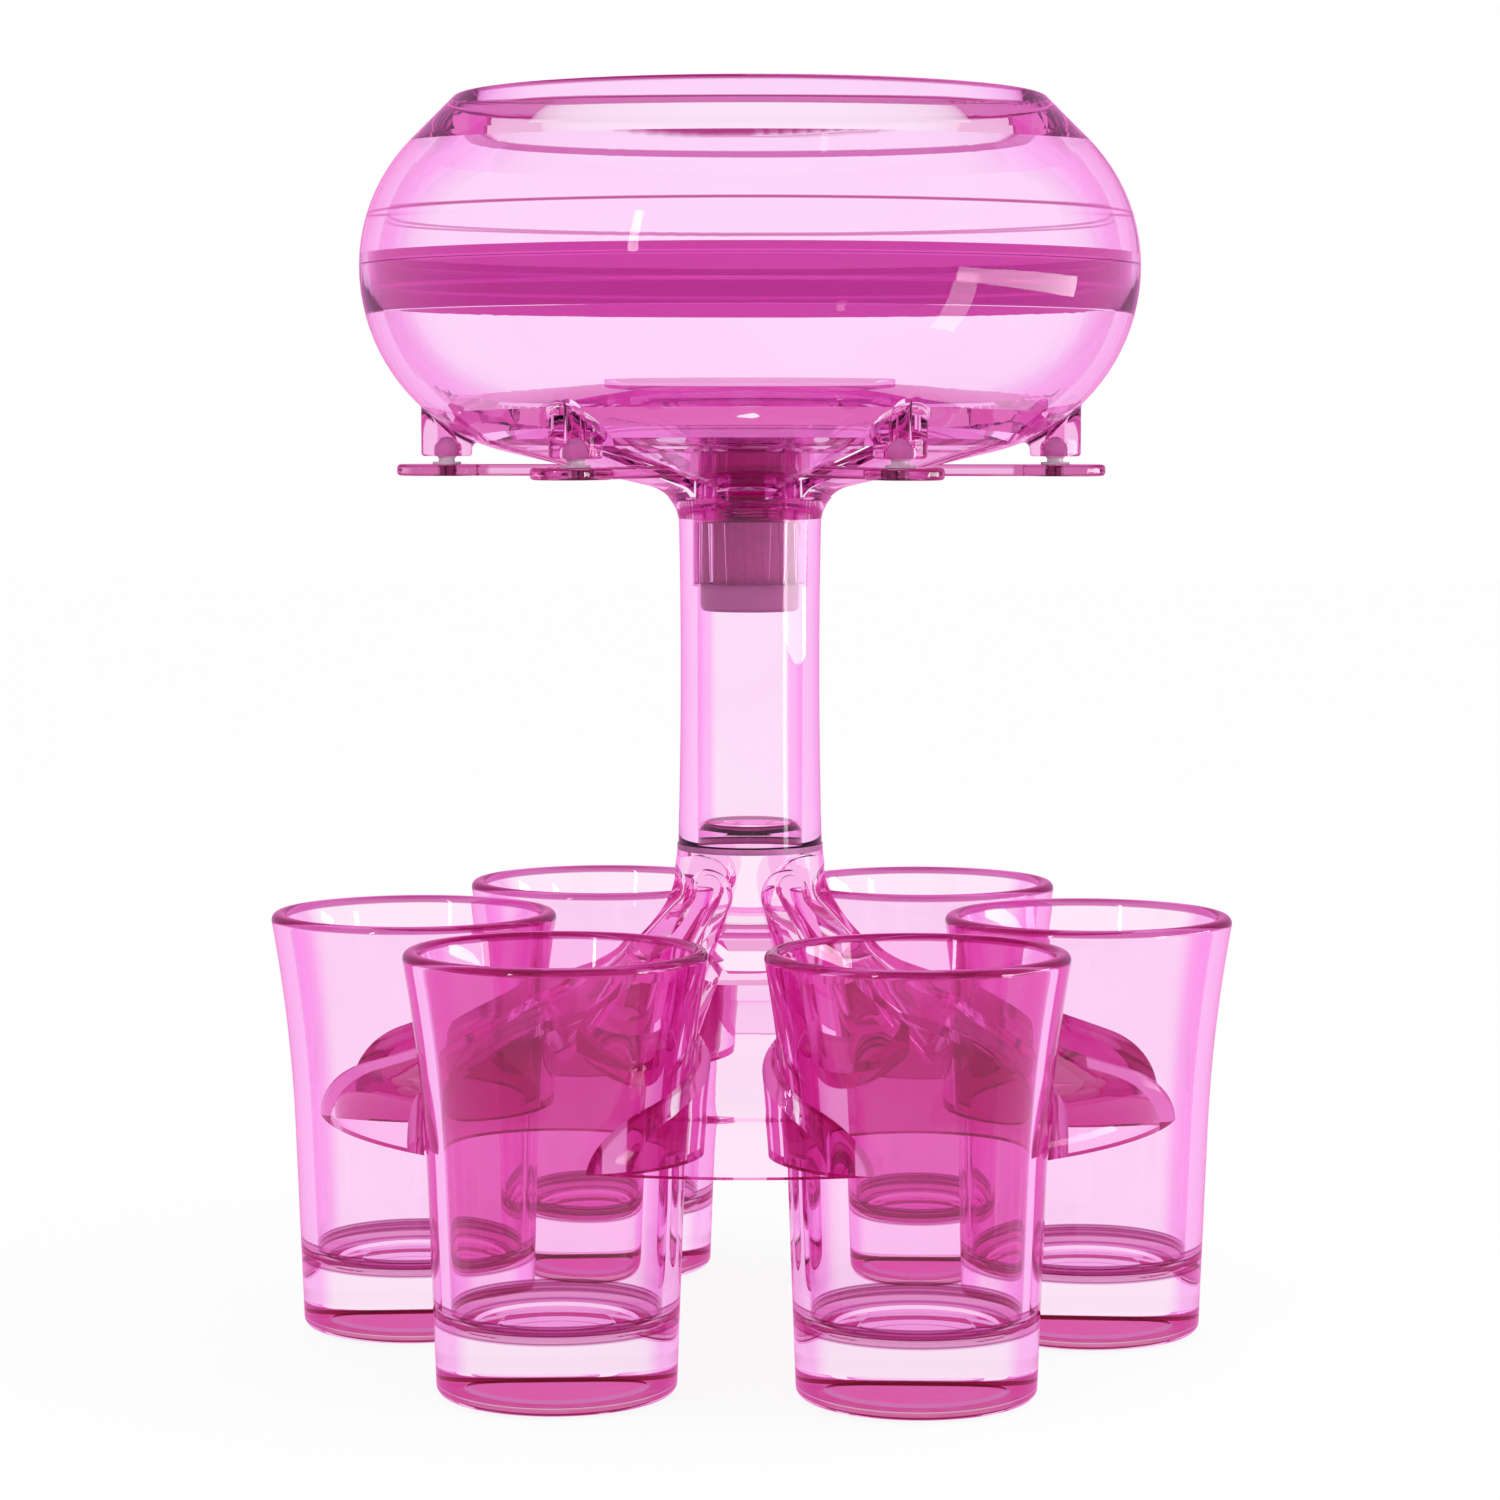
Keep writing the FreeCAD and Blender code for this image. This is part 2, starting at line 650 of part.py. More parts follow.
def nozzle_roots(shape):
    """The edges of a shape where the nozzles' sides run into the bowl's outer side."""
    roots = []
    for edge in shape.Edges:
        middle = edge.valueAt((edge.FirstParameter + edge.LastParameter) / 2)
        turns = round(math.degrees(math.atan2(middle.y, middle.x)) / pitch_angle)
        reach = middle.distanceToPoint(polar(nozzle_circle_r, turns * pitch_angle, middle.z))
        if isinstance(edge.Curve, Part.BSplineCurve) and abs(reach - nozzle_r) < 1e-3:
            roots.append(edge)
    return roots


def bowl_base():
    """Lower half of the bowl: round side, floor that rises to a raised disc, and six nozzles."""
    outer_start = belly_angle_at_z(seam_z)
    inner_start = belly_angle_at_z(seam_z, bowl_wall)
    rim_angle = belly_angle_at_r(skirt_rim_r)
    valley_angle = belly_angle_at_r(nozzle_circle_r, bowl_wall)
    seam_outer = belly_at_angle(outer_start)
    seam_inner = belly_at_angle(inner_start, bowl_wall)
    foot = belly_at_angle(rim_angle)
    valley = belly_at_angle(valley_angle, bowl_wall)
    floor_edge = floor_disc_r, floor_disc_z
    rise = (floor_edge[1] - valley[1]) / (valley[0] - floor_edge[0])
    underside = skirt_rim_r, valley[1] + (valley[0] - skirt_rim_r) * rise - floor_wall
    underside_edge = floor_disc_r, floor_disc_z - floor_wall
    shell = turned_edges([
        bend(seam_outer, belly_at_angle((outer_start + rim_angle) / 2), foot),
        run(foot, underside),
        run(underside, underside_edge),
        run(underside_edge, (0.0, underside_edge[1])),
        run((0.0, underside_edge[1]), (0.0, floor_disc_z + floor_disc_step)),
        run((0.0, floor_disc_z + floor_disc_step), (floor_disc_r, floor_disc_z + floor_disc_step)),
        run((floor_disc_r, floor_disc_z + floor_disc_step), floor_edge),
        run(floor_edge, valley),
        bend(valley, belly_at_angle((inner_start + valley_angle) / 2, bowl_wall), seam_inner),
        run(seam_inner, seam_outer),
    ])
    base = shell.fuse(ring_of(nozzle()))
    base = base.makeFillet(nozzle_root_round, nozzle_roots(base))
    return base.cut(ring_of(nozzle_bore())).cut(seal_ring(seal_groove_gap))


# ---------------------------------------------------------------- parts
parts = {
    "bowl_top": bowl_top(),
    "bowl_seal_ring": seal_ring(0.0),
    "bowl_base": bowl_base(),
    "skirt": skirt(),
    "spigot_plug": spigot_plug(),
    "spring_seat": spring_seat(),
    "valve_spring": valve_spring(),
    "plunger": plunger(),
    "valve_plate": valve_plate(),
    "neck_tube": neck_tube(),
    "joint_ring": joint_ring(),
    "cup_carrier": cup_carrier(),
}
cup = shot_cup()
cup.translate(FreeCAD.Vector(cup_circle_r, 0, 0))
for number, (turned_cup, turned_plug) in enumerate(zip(ring_of(cup), ring_of(seal_plug())), start=1):
    parts[f"shot_cup_{number}"] = turned_cup
    parts[f"seal_plug_{number}"] = turned_plug

os.makedirs("parts", exist_ok=True)
for name, shape in parts.items():
    print(f"{name}: {len(shape.Solids)} solid, valid {shape.isValid()}, {shape.Volume / 1000:.2f} cm3")
    shape.exportStep(f"parts/{name}.step")
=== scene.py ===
"""Looks of a party shot dispenser: clear pink bowl, neck, carrier and cups, and a spring valve below.

Everything is in metres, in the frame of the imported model: +Z up, the neck's axis at the origin, -Y the front.
"""
import math

import bmesh
import bpy
from bpy.props import FloatProperty, FloatVectorProperty, PointerProperty
from bpy.types import Operator, Panel, PropertyGroup
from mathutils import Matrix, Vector


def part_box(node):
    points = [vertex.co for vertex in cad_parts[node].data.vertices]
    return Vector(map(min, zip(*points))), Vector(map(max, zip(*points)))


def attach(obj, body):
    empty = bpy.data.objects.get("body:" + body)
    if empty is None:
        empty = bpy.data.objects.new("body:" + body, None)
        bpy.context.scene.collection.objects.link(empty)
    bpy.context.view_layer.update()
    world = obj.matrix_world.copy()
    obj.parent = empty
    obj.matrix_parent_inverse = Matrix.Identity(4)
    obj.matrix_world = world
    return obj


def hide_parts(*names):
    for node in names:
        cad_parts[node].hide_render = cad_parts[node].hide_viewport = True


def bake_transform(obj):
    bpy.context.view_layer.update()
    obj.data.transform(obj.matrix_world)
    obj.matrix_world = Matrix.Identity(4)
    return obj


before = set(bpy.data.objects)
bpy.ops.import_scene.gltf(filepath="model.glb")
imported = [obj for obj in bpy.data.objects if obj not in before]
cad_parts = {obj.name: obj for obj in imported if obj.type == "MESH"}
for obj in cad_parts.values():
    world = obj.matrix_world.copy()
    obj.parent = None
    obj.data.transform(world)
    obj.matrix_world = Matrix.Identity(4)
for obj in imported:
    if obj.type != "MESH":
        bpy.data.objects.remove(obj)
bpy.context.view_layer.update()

bl_info = {
    "name": "Party shot dispenser",
    "version": (1, 0, 0),
    "blender": (4, 5, 0),
    "location": "3D View > Sidebar > Dispenser",
    "description": "Makes the cups and the spring of a party shot dispenser and dresses its other pieces",
    "category": "Add Mesh",
}

CUPS = range(1, 7)
WHITE = (1.0, 1.0, 1.0, 1.0)

# Plug under the bowl, in metres: its two lengths, and the radii between which its opaque core ends.
SPIGOT_LENGTH = 0.0043
SLEEVE_LENGTH = 0.0094
SLEEVE_CORE_R = 0.0072, 0.0076

# Index of refraction of the pieces whose thin or curved walls would trap light at the shared one.
BOWL_REFRACTION = 1.22
SKIRT_REFRACTION = 1.28
CARRIER_REFRACTION = 1.16
UNDERSIDE_REFRACTION = 1.001
SILICONE_REFRACTION = 1.41

# How far aslant a wall is seen where its edge tint starts, and where it is full.
BOWL_SLANT = 0.5, 0.75
SEAM_SLANT = 0.45, 0.85
NECK_SLANT = 0.2, 0.38
CARRIER_SLANT = 0.45, 0.8
CUP_SLANT = 0.3, 0.5
UNDERSIDE_SLANT = 0.45, 0.7
VALVE_SLANT = 0.3, 0.8

# Inner floor of a cup, in metres: radii of its two steps, at top and at bottom, and depths below its corner.
RING_STEP_R = 0.0123, 0.0119
DISC_STEP_R = 0.0082, 0.0086
RING_DEPTH = 0.0005
DISC_DEPTH = 0.0001

# Roundings of a cup's edges, in metres.
STEP_ROUND = 0.0002
RECESS_ROUND = 0.0004
FOOT_RING_ROUND = 0.0003
FOOT_ROUND = 0.0013
RIM_ROUND = 0.00115
CORNER_ROUND = 0.0024

# Places of painted shade, and of the joint ring's painted reflection, in metres: the two ends of a mask's soft
# edge or of a band, and a line's half width.
LINE_SOFT = 0.0001
CORNER_R = 0.0122, 0.0126
CORNER_LINES = (0.0001, 0.0003), (0.0012, 0.0015), (0.0021, 0.0024)
POCKET_FADE_Z = 0.048, 0.056
SEAM_LINE_HALF = 0.0003
LEDGE_HALF = 0.0002
NOZZLE_R = 0.0041, 0.0046
NOZZLE_FADE_Z = 0.1425, 0.1445
BOWL_HUB_R = 0.0094, 0.0098
BOWL_HUB_FADE_Z = 0.1375, 0.1385
TAB_R = 0.0066, 0.0072
PLATE_HUB_R = 0.0096, 0.0100
PLATE_FLATS = 0.0005, 0.0013

# Silicone and steel: tint of the skin, and of its darker places where it has them.
JOINT_RING_TINTS = (0.66, 0.22, 0.50), (0.56, 0.16, 0.42)
SEAT_TINTS = (0.46, 0.11, 0.32), (0.38, 0.08, 0.26)
PLUG_TINTS = (0.93, 0.82, 0.90), (0.86, 0.74, 0.83)
STEEL_TINT = (0.75, 0.75, 0.77)

# Meshes: a point nearer to the axis than this lies on it, and edges sharper than these angles stay crisp.
ON_AXIS = 1e-7
CUP_CREASE = 32.0
COIL_CREASE = 50.0

# Stage, in metres and radians. A lamp is its name, place, aim, size and power in watts.
LIGHT_BOUNCES = 128
FLOOR_SIZE = 3.0
FLOOR_Z = -0.0004
FLOOR_GREY = (0.95, 0.95, 0.95, 1.0)
FLOOR_SEEN_WHITE = 0.9
CAMERA_PLACE = (0.028263, -0.642850, 0.143115)
CAMERA_TURN = (math.pi / 2 - 0.08115, 0.0, 0.04394)
SENSOR_WIDTH = 36.0
RIGHT_SIDE = (0.035, -0.047, 0.160)
LEFT_SIDE = (-0.0135, -0.058, 0.168)
LAMPS = (
    ("right bar", (0.480, -0.055, 0.106), RIGHT_SIDE, (0.42, 0.060), 1.15),
    ("right post", (0.257, -0.141, 0.070), RIGHT_SIDE, (0.041, 0.14), 0.22),
    ("left window", (-0.460, -0.800, 0.400), LEFT_SIDE, (0.05, 0.40), 1.8),
)


# ---------------------------------------------------------------- shader maths
class Field:
    """A value that varies over a surface. Arithmetic on it adds the Math nodes that work it out."""

    def __init__(self, graph, socket):
        self.graph = graph
        self.socket = socket

    def _math(self, operation, *values):
        return self.graph.node("ShaderNodeMath", {"operation": operation}, dict(enumerate(values)))

    def __add__(self, other):
        return self._math("ADD", self, other)

    __radd__ = __add__

    def __sub__(self, other):
        return self._math("SUBTRACT", self, other)

    def __rsub__(self, other):
        return self._math("SUBTRACT", other, self)

    def __mul__(self, other):
        return self._math("MULTIPLY", self, other)

    __rmul__ = __mul__

    def __pow__(self, other):
        return self._math("POWER", self, other)

    def between(self, low, high):
        """0 below low, 1 above high, and a smooth step from one to the other."""
        settings = {"interpolation_type": "SMOOTHSTEP"}
        values = {"Value": self, "From Min": low, "From Max": high, "To Min": 0.0, "To Max": 1.0}
        return self.graph.node("ShaderNodeMapRange", settings, values)

    def band(self, low, high, soft=0.0002):
        """1 from low to high and 0 outside, with soft edges."""
        return self.between(low - soft, low + soft) - self.between(high - soft, high + soft)

    def larger(self, other):
        """The larger of two values."""
        return self._math("MAXIMUM", self, other)

    def angle_from(self, other):
        """Angle of the point (other, this value) about the origin."""
        return self._math("ARCTAN2", self, other)

    def folded(self, span):
        """The value folded to and fro between 0 and span."""
        return self._math("PINGPONG", self, span)

    def sine(self):
        return self._math("SINE", self)

    def cosine(self):
        return self._math("COSINE", self)


class Graph:
    """The nodes of a material or a world."""

    def __init__(self, owner):
        owner.use_nodes = True
        self.tree = owner.node_tree
        self.tree.nodes.clear()

    def node(self, kind, settings=None, values=None, output=0):
        """Adds a node, sets it up, feeds its sockets, and gives back one of its outputs."""
        node = self.tree.nodes.new(kind)
        for key, setting in (settings or {}).items():
            if key == "stops":
                self.set_stops(node.color_ramp, setting)
            else:
                setattr(node, key, setting)
        for key, value in (values or {}).items():
            self.feed(node.inputs[key], value)
        return Field(self, node.outputs[output]) if node.outputs else node

    def feed(self, socket, value):
        """Links a field to a socket, or sets a plain value on it."""
        if isinstance(value, Field):
            self.tree.links.new(value.socket, socket)
        else:
            socket.default_value = value

    @staticmethod
    def set_stops(ramp, stops):
        """Gives a colour ramp its stops, as (position, colour) pairs."""
        while len(ramp.elements) > 1:
            ramp.elements.remove(ramp.elements[-1])
        ramp.elements[0].position, ramp.elements[0].color = stops[0]
        for position, colour in stops[1:]:
            ramp.elements.new(position).color = colour

    def noise(self, where, scale, detail=2.0, roughness=0.5, distortion=0.0):
        """Soft noise from 0 to 1 at a place."""
        values = {
            "Vector": where, "Scale": scale, "Detail": detail,
            "Roughness": roughness, "Distortion": distortion,
        }
        return self.node("ShaderNodeTexNoise", {"noise_dimensions": "3D"}, values)

    def mix(self, share, first, second, blend="MIX"):
        """A colour from first at share 0 to second, or to first blended with second, at share 1."""
        settings = {"data_type": "RGBA", "blend_type": blend}
        return self.node("ShaderNodeMix", settings, {0: share, 6: first, 7: second}, output=2)

    def bump(self, strength, distance, height):
        """A normal that follows a height over the skin."""
        return self.node("ShaderNodeBump", {}, {"Strength": strength, "Distance": distance, "Height": height})

    def aslant(self, start, full):
        """0 where the skin faces the ray and 1 where it lies aslant."""
        weight = self.node("ShaderNodeLayerWeight", {}, {"Blend": 0.5}, output="Facing")
        return weight.between(start, full)

    def surface(self, shader):
        """Makes a shader the material's surface."""
        self.node("ShaderNodeOutputMaterial", {}, {"Surface": shader})

    def place(self):
        """The place of a point on its piece, in metres."""
        return self.node("ShaderNodeTexCoord", output="Object")

    def split(self, vector):
        """X, Y and Z of a vector."""
        node = self.tree.nodes.new("ShaderNodeSeparateXYZ")
        self.feed(node.inputs[0], vector)
        return [Field(self, output) for output in node.outputs]

    def around(self, vector):
        """How far a place lies from Z, and its height."""
        x, y, height = self.split(vector)
        return (x * x + y * y) ** 0.5, height


def rgba(colour):
    """A colour with full alpha."""
    return (*colour[:3], 1.0)


def darker(colour, share):
    """A share of a colour, with full alpha."""
    return rgba([part * share for part in colour])


def new_material(name):
    """A new material, and the graph of its nodes."""
    material = bpy.data.materials.new(name)
    return material, Graph(material)


# ---------------------------------------------------------------- finishes
def clear_shader(graph, looks, tint, slant, zones=None, refraction=None):
    """Clear moulded plastic: a tint at each skin, faint flow streaks, handling smears and a wavy polish.

    The edge tint comes in over the slant range; zones(graph, place) gives (mask, tint) pairs of painted shade,
    and on the joint ring of painted reflection.
    """
    place = graph.place()
    flow = graph.noise(place, scale=34.0, detail=2.0, roughness=0.45, distortion=0.6).between(0.35, 0.75)
    smears = graph.noise(place, scale=120.0, detail=4.0, roughness=0.6).between(0.5, 0.85)
    waves = graph.noise(place, scale=55.0, detail=1.0, roughness=0.4)
    streak = [part * share for part, share in zip(tint, (1.0, 0.965, 0.99))]
    body = graph.mix(flow, rgba(tint), rgba(streak))
    # Lays each zone's painted shade (painted reflection on the joint ring) over the tint.
    for mask, deeper in (zones(graph, place) if zones else ()):
        body = graph.mix(mask, body, rgba(deeper))
    return graph.node("ShaderNodeBsdfPrincipled", {}, {
        "Base Color": graph.mix(graph.aslant(*slant), body, rgba(looks.edge_tint), "MULTIPLY"),
        "Roughness": smears * 0.02,
        "Transmission Weight": 1.0,
        "IOR": refraction or looks.refraction,
        "Normal": graph.bump(looks.waviness, 0.0001, waves),
    })


def clear_plastic(name, *look, **more):
    """A material of clear moulded plastic; the look and more are those of clear_shader."""
    material, graph = new_material(name)
    graph.surface(clear_shader(graph, *look, **more))
    return material


def cup_plastic(name, looks, cup):
    """Clear plastic of a cup, whose underside hardly bends light and carries painted shade: a deep tint with
    dark rings at the dimple's and the recess's edges.
    """
    material, graph = new_material(name)
    clear = clear_shader(graph, looks, looks.cup_tint, CUP_SLANT, cup_shade_zones)
    place = graph.place()
    spoke, height = graph.around(place)
    clouds = graph.noise(place, scale=260.0, detail=4.0, roughness=0.6).between(0.35, 0.75)
    grain = graph.noise(place, scale=3800.0, detail=2.0, roughness=0.6)
    # Painted shade under the base: a deep tint for the underside and its dimple, faint darker clouds, and dark
    # rings at the dimple's and the recess's edges.
    dimple_shade_line = spoke.band(cup.dimple_r - 0.0003, cup.dimple_r + 0.0003)
    recess_shade_line = spoke.band(cup.recess_r - 0.0009, cup.recess_r - 0.0004)
    beyond_dimple = spoke.between(cup.dimple_r - 0.0004, cup.dimple_r)
    foot_ring = spoke.between(cup.recess_r - 0.0006, cup.recess_r)
    floor = graph.mix(beyond_dimple, rgba(looks.dimple_shade_tint), rgba(looks.foot_shade_tint))
    floor = graph.mix(clouds * 0.3, floor, rgba(looks.line_shade_tint))
    floor = graph.mix(graph.aslant(*UNDERSIDE_SLANT).larger(foot_ring), rgba(looks.cup_tint), floor)
    floor = graph.mix(dimple_shade_line, floor, rgba(looks.line_shade_tint))
    under = graph.node("ShaderNodeBsdfPrincipled", {}, {
        "Base Color": graph.mix(recess_shade_line, floor, rgba(looks.deep_line_shade_tint)),
        "Roughness": 0.1 + clouds * 0.1,
        "Transmission Weight": 1.0,
        "IOR": UNDERSIDE_REFRACTION,
        "Normal": graph.bump(0.3, 0.00002, grain),
    })
    low = 1.0 - height.between(cup.dimple_z + 0.0001, cup.dimple_z + 0.0002)
    inward = 1.0 - spoke.between(cup.foot_r - 0.0009, cup.foot_r - 0.0007)
    graph.surface(graph.node("ShaderNodeMixShader", {}, {0: low * inward, 1: clear, 2: under}))
    return material


def cup_shade_zones(graph, place):
    """Painted shade in a cup: a darker rim, dark lines at the rim's edges, and a darker corner round its floor
    with three dark lines.
    """
    looks, cup = bpy.context.scene.dispenser_looks, bpy.context.scene.dispenser_cup
    spoke, height = graph.around(place)
    top = height.between(cup.height - 0.0012, cup.height - 0.0009)
    crown = spoke.band(cup.rim_r - cup.wall / 2 - 0.0006, cup.rim_r - cup.wall / 2 + 0.0006)
    corner_ring = spoke.between(*CORNER_R)
    corner = height.band(cup.floor_z - 0.0001, cup.floor_z + CORNER_ROUND) * corner_ring
    lines = [height.band(cup.floor_z + low, cup.floor_z + high, LINE_SOFT) for low, high in CORNER_LINES]
    corner_shade_lines = lines[0].larger(lines[1]).larger(lines[2]) * corner_ring
    return (
        (top, looks.rim_shade_tint),
        (top * (1.0 - crown), looks.line_shade_tint),
        (corner, looks.corner_shade_tint),
        (corner_shade_lines, looks.deep_line_shade_tint),
    )


def folded_place(graph, place):
    """How far out along the nearest cup's direction a point lies, how far beside it, and its height."""
    x, y, height = graph.split(place)
    spoke = (x * x + y * y) ** 0.5
    turn = y.angle_from(x).folded(math.pi / len(CUPS))
    return spoke * turn.cosine(), spoke * turn.sine(), height


def carrier_shade_zones(graph, place):
    """Painted shade on the carrier: darker flutes, and darker walls of its six pockets near the bell's rim."""
    looks, carrier = bpy.context.scene.dispenser_looks, bpy.context.scene.dispenser_carrier
    out, beside, height = folded_place(graph, place)
    tilt_cosine, tilt_sine = math.cos(carrier.flute_tilt), math.sin(carrier.flute_tilt)
    beyond, above = out - carrier.flute_top_r, height - carrier.flute_top_z
    along = (beyond * tilt_cosine - above * tilt_sine).larger(0.0)
    off_axis = ((beyond * tilt_sine + above * tilt_cosine) ** 2.0 + beside * beside) ** 0.5
    from_flute = off_axis - along * carrier.flute_spread
    flute = 1.0 - from_flute.between(carrier.flute_r + 0.0002, carrier.flute_r + 0.0005)
    to_cup = ((out - carrier.cup_circle_r) ** 2.0 + beside * beside) ** 0.5
    from_pocket = to_cup - height * carrier.pocket_spread
    pocket = 1.0 - from_pocket.between(carrier.pocket_r + 0.0004, carrier.pocket_r + 0.0009)
    low = 1.0 - height.between(*POCKET_FADE_Z)
    return (flute, looks.flute_shade_tint), (pocket * low, looks.pocket_shade_tint)


def rim_shade_zones(graph, place):
    """Painted shade on the bowl's upper half: dark lines at its rim, at the edge below the lip, and round the
    inside at the ledge.
    """
    looks, bowl = bpy.context.scene.dispenser_looks, bpy.context.scene.dispenser_bowl
    spoke, height = graph.around(place)
    rim = height.between(bowl.rim_z - 0.0010, bowl.rim_z - 0.0006)
    lip = height.band(bowl.rim_z - 0.0052, bowl.rim_z - 0.0038)
    inside = 1.0 - spoke.between(bowl.mouth_r + 0.0012, bowl.mouth_r + 0.0014)
    ledge = height.band(bowl.ledge_z - LEDGE_HALF, bowl.ledge_z + LEDGE_HALF, LINE_SOFT)
    return (rim, looks.line_shade_tint), (lip * inside, looks.line_shade_tint), (ledge, looks.edge_shade_tint)


def seam_reflection_zones(graph, place):
    """Two paler thin lines round the joint ring, part of its painted reflection."""
    looks, bowl = bpy.context.scene.dispenser_looks, bpy.context.scene.dispenser_bowl
    height = graph.split(place)[2]
    heights = bowl.seam_line_z, bowl.high_line_z
    low_line, high_line = (height.band(z - SEAM_LINE_HALF, z + SEAM_LINE_HALF, LINE_SOFT) for z in heights)
    return ((low_line.larger(high_line), looks.bowl_tint),)


def nozzle_shade_zones(graph, place):
    """Painted shade under the bowl: darker nozzles and a darker hub."""
    looks, bowl = bpy.context.scene.dispenser_looks, bpy.context.scene.dispenser_bowl
    out, beside, height = folded_place(graph, place)
    to_nozzle = ((out - bowl.nozzle_circle_r) ** 2.0 + beside * beside) ** 0.5
    nozzle = (1.0 - to_nozzle.between(*NOZZLE_R)) * (1.0 - height.between(*NOZZLE_FADE_Z))
    hub = (1.0 - out.between(*BOWL_HUB_R)) * (1.0 - height.between(*BOWL_HUB_FADE_Z))
    return (nozzle, looks.nozzle_shade_tint), (hub, looks.hub_shade_tint)


def tab_shade_zones(graph, place):
    """Painted shade on the valve plate: darker tabs, darker rounded edges and a darker hub."""
    looks, bowl = bpy.context.scene.dispenser_looks, bpy.context.scene.dispenser_bowl
    out, beside, height = folded_place(graph, place)
    to_nozzle = ((out - bowl.nozzle_circle_r) ** 2.0 + beside * beside) ** 0.5
    flats = height.band(bowl.plate_z + PLATE_FLATS[0], bowl.plate_z + PLATE_FLATS[1], LINE_SOFT)
    tab = 1.0 - to_nozzle.between(*TAB_R)
    hub = 1.0 - out.between(*PLATE_HUB_R)
    return (tab, looks.tab_shade_tint), ((1.0 - flats) * (1.0 - hub), looks.edge_shade_tint), (hub, looks.hub_shade_tint)


def sleeve_plastic(name, looks, foot_z, top_z):
    """Plug under the bowl: clear flutes on an opaque core, opaque spigot below foot_z, and above top_z clear
    with the hub's painted shade.
    """
    material, graph = new_material(name)
    place = graph.place()
    spoke, height = graph.around(place)
    specks = graph.noise(place, scale=700.0, detail=3.0, roughness=0.5).between(0.4, 0.8)
    grain = graph.noise(place, scale=2400.0, detail=2.0, roughness=0.5)
    bump = graph.bump(0.15, 0.00002, grain)
    # Painted shade: above top_z the guide takes the hub's deep tint.
    guide = height.between(top_z, top_z + 0.0004)
    skin = graph.mix(specks, rgba(looks.neck_tint), darker(looks.neck_tint, 0.94))
    clear = graph.node("ShaderNodeBsdfPrincipled", {}, {
        "Base Color": graph.mix(guide, skin, rgba(looks.hub_shade_tint)),
        "Roughness": specks * 0.04,
        "Transmission Weight": 1.0,
        "IOR": looks.refraction,
        "Normal": bump,
    })
    core = (1.0 - spoke.between(*SLEEVE_CORE_R)) * (1.0 - guide)
    spigot = 1.0 - height.between(foot_z - 0.0002, foot_z)
    inner = graph.mix(specks, rgba(looks.sleeve_tint), darker(looks.sleeve_tint, 0.9))
    solid = graph.node("ShaderNodeBsdfPrincipled", {}, {
        "Base Color": graph.mix(spigot, inner, darker(looks.sleeve_tint, 0.58)),
        "Roughness": 0.3 + specks * 0.12,
        "Specular IOR Level": 0.15,
        "Normal": bump,
    })
    graph.surface(graph.node("ShaderNodeMixShader", {}, {0: core.larger(spigot), 1: clear, 2: solid}))
    return material


def soft_silicone(name, tint, dark):
    """Translucent silicone: a dull skin with a fine matt grain and a slight bloom."""
    material, graph = new_material(name)
    place = graph.place()
    bloom = graph.noise(place, scale=420.0, detail=3.0, roughness=0.6).between(0.4, 0.8)
    grain = graph.noise(place, scale=5200.0, detail=2.0, roughness=0.6)
    graph.surface(graph.node("ShaderNodeBsdfPrincipled", {}, {
        "Base Color": graph.mix(bloom, rgba(tint), rgba(dark)),
        "Roughness": 0.32 + bloom * 0.2,
        "Transmission Weight": 0.55,
        "IOR": SILICONE_REFRACTION,
        "Normal": graph.bump(0.35, 0.00002, grain + bloom * 0.5),
    }))
    return material


def spring_wire(name, tint):
    """Drawn spring steel: bright metal with fine draw lines and a few duller patches."""
    material, graph = new_material(name)
    place = graph.place()
    patches = graph.noise(place, scale=300.0, detail=3.0, roughness=0.5).between(0.35, 0.7)
    lines = graph.noise(place, scale=6000.0, detail=2.0, roughness=0.5)
    graph.surface(graph.node("ShaderNodeBsdfPrincipled", {}, {
        "Base Color": graph.mix(patches, rgba(tint), darker(tint, 0.8)),
        "Roughness": 0.14 + patches * 0.16,
        "Metallic": 1.0,
        "Normal": graph.bump(0.2, 0.00001, lines),
    }))
    return material


# ---------------------------------------------------------------- meshes
def rounded(corners, steps=8):
    """Points of a closed outline from corners (r, z) or (r, z, rounding radius)."""
    points = []
    for index, corner in enumerate(corners):
        here = Vector(corner[:2])
        if len(corner) < 3:
            points.append(here)
            continue
        before = (Vector(corners[index - 1][:2]) - here).normalized()
        after = (Vector(corners[(index + 1) % len(corners)][:2]) - here).normalized()
        half_angle = before.angle(after) / 2
        centre = here + (before + after).normalized() * (corner[2] / math.sin(half_angle))
        start = here + before * (corner[2] / math.tan(half_angle)) - centre
        end = here + after * (corner[2] / math.tan(half_angle)) - centre
        sweep = start.angle_signed(end)
        points += [centre + turned(start, sweep * step / steps) for step in range(steps + 1)]
    return [(point.x, point.y) for point in points]


def turned(spoke, clockwise):
    """A flat vector turned clockwise by an angle."""
    cosine, sine = math.cos(clockwise), math.sin(clockwise)
    return Vector((spoke.x * cosine + spoke.y * sine, spoke.y * cosine - spoke.x * sine))


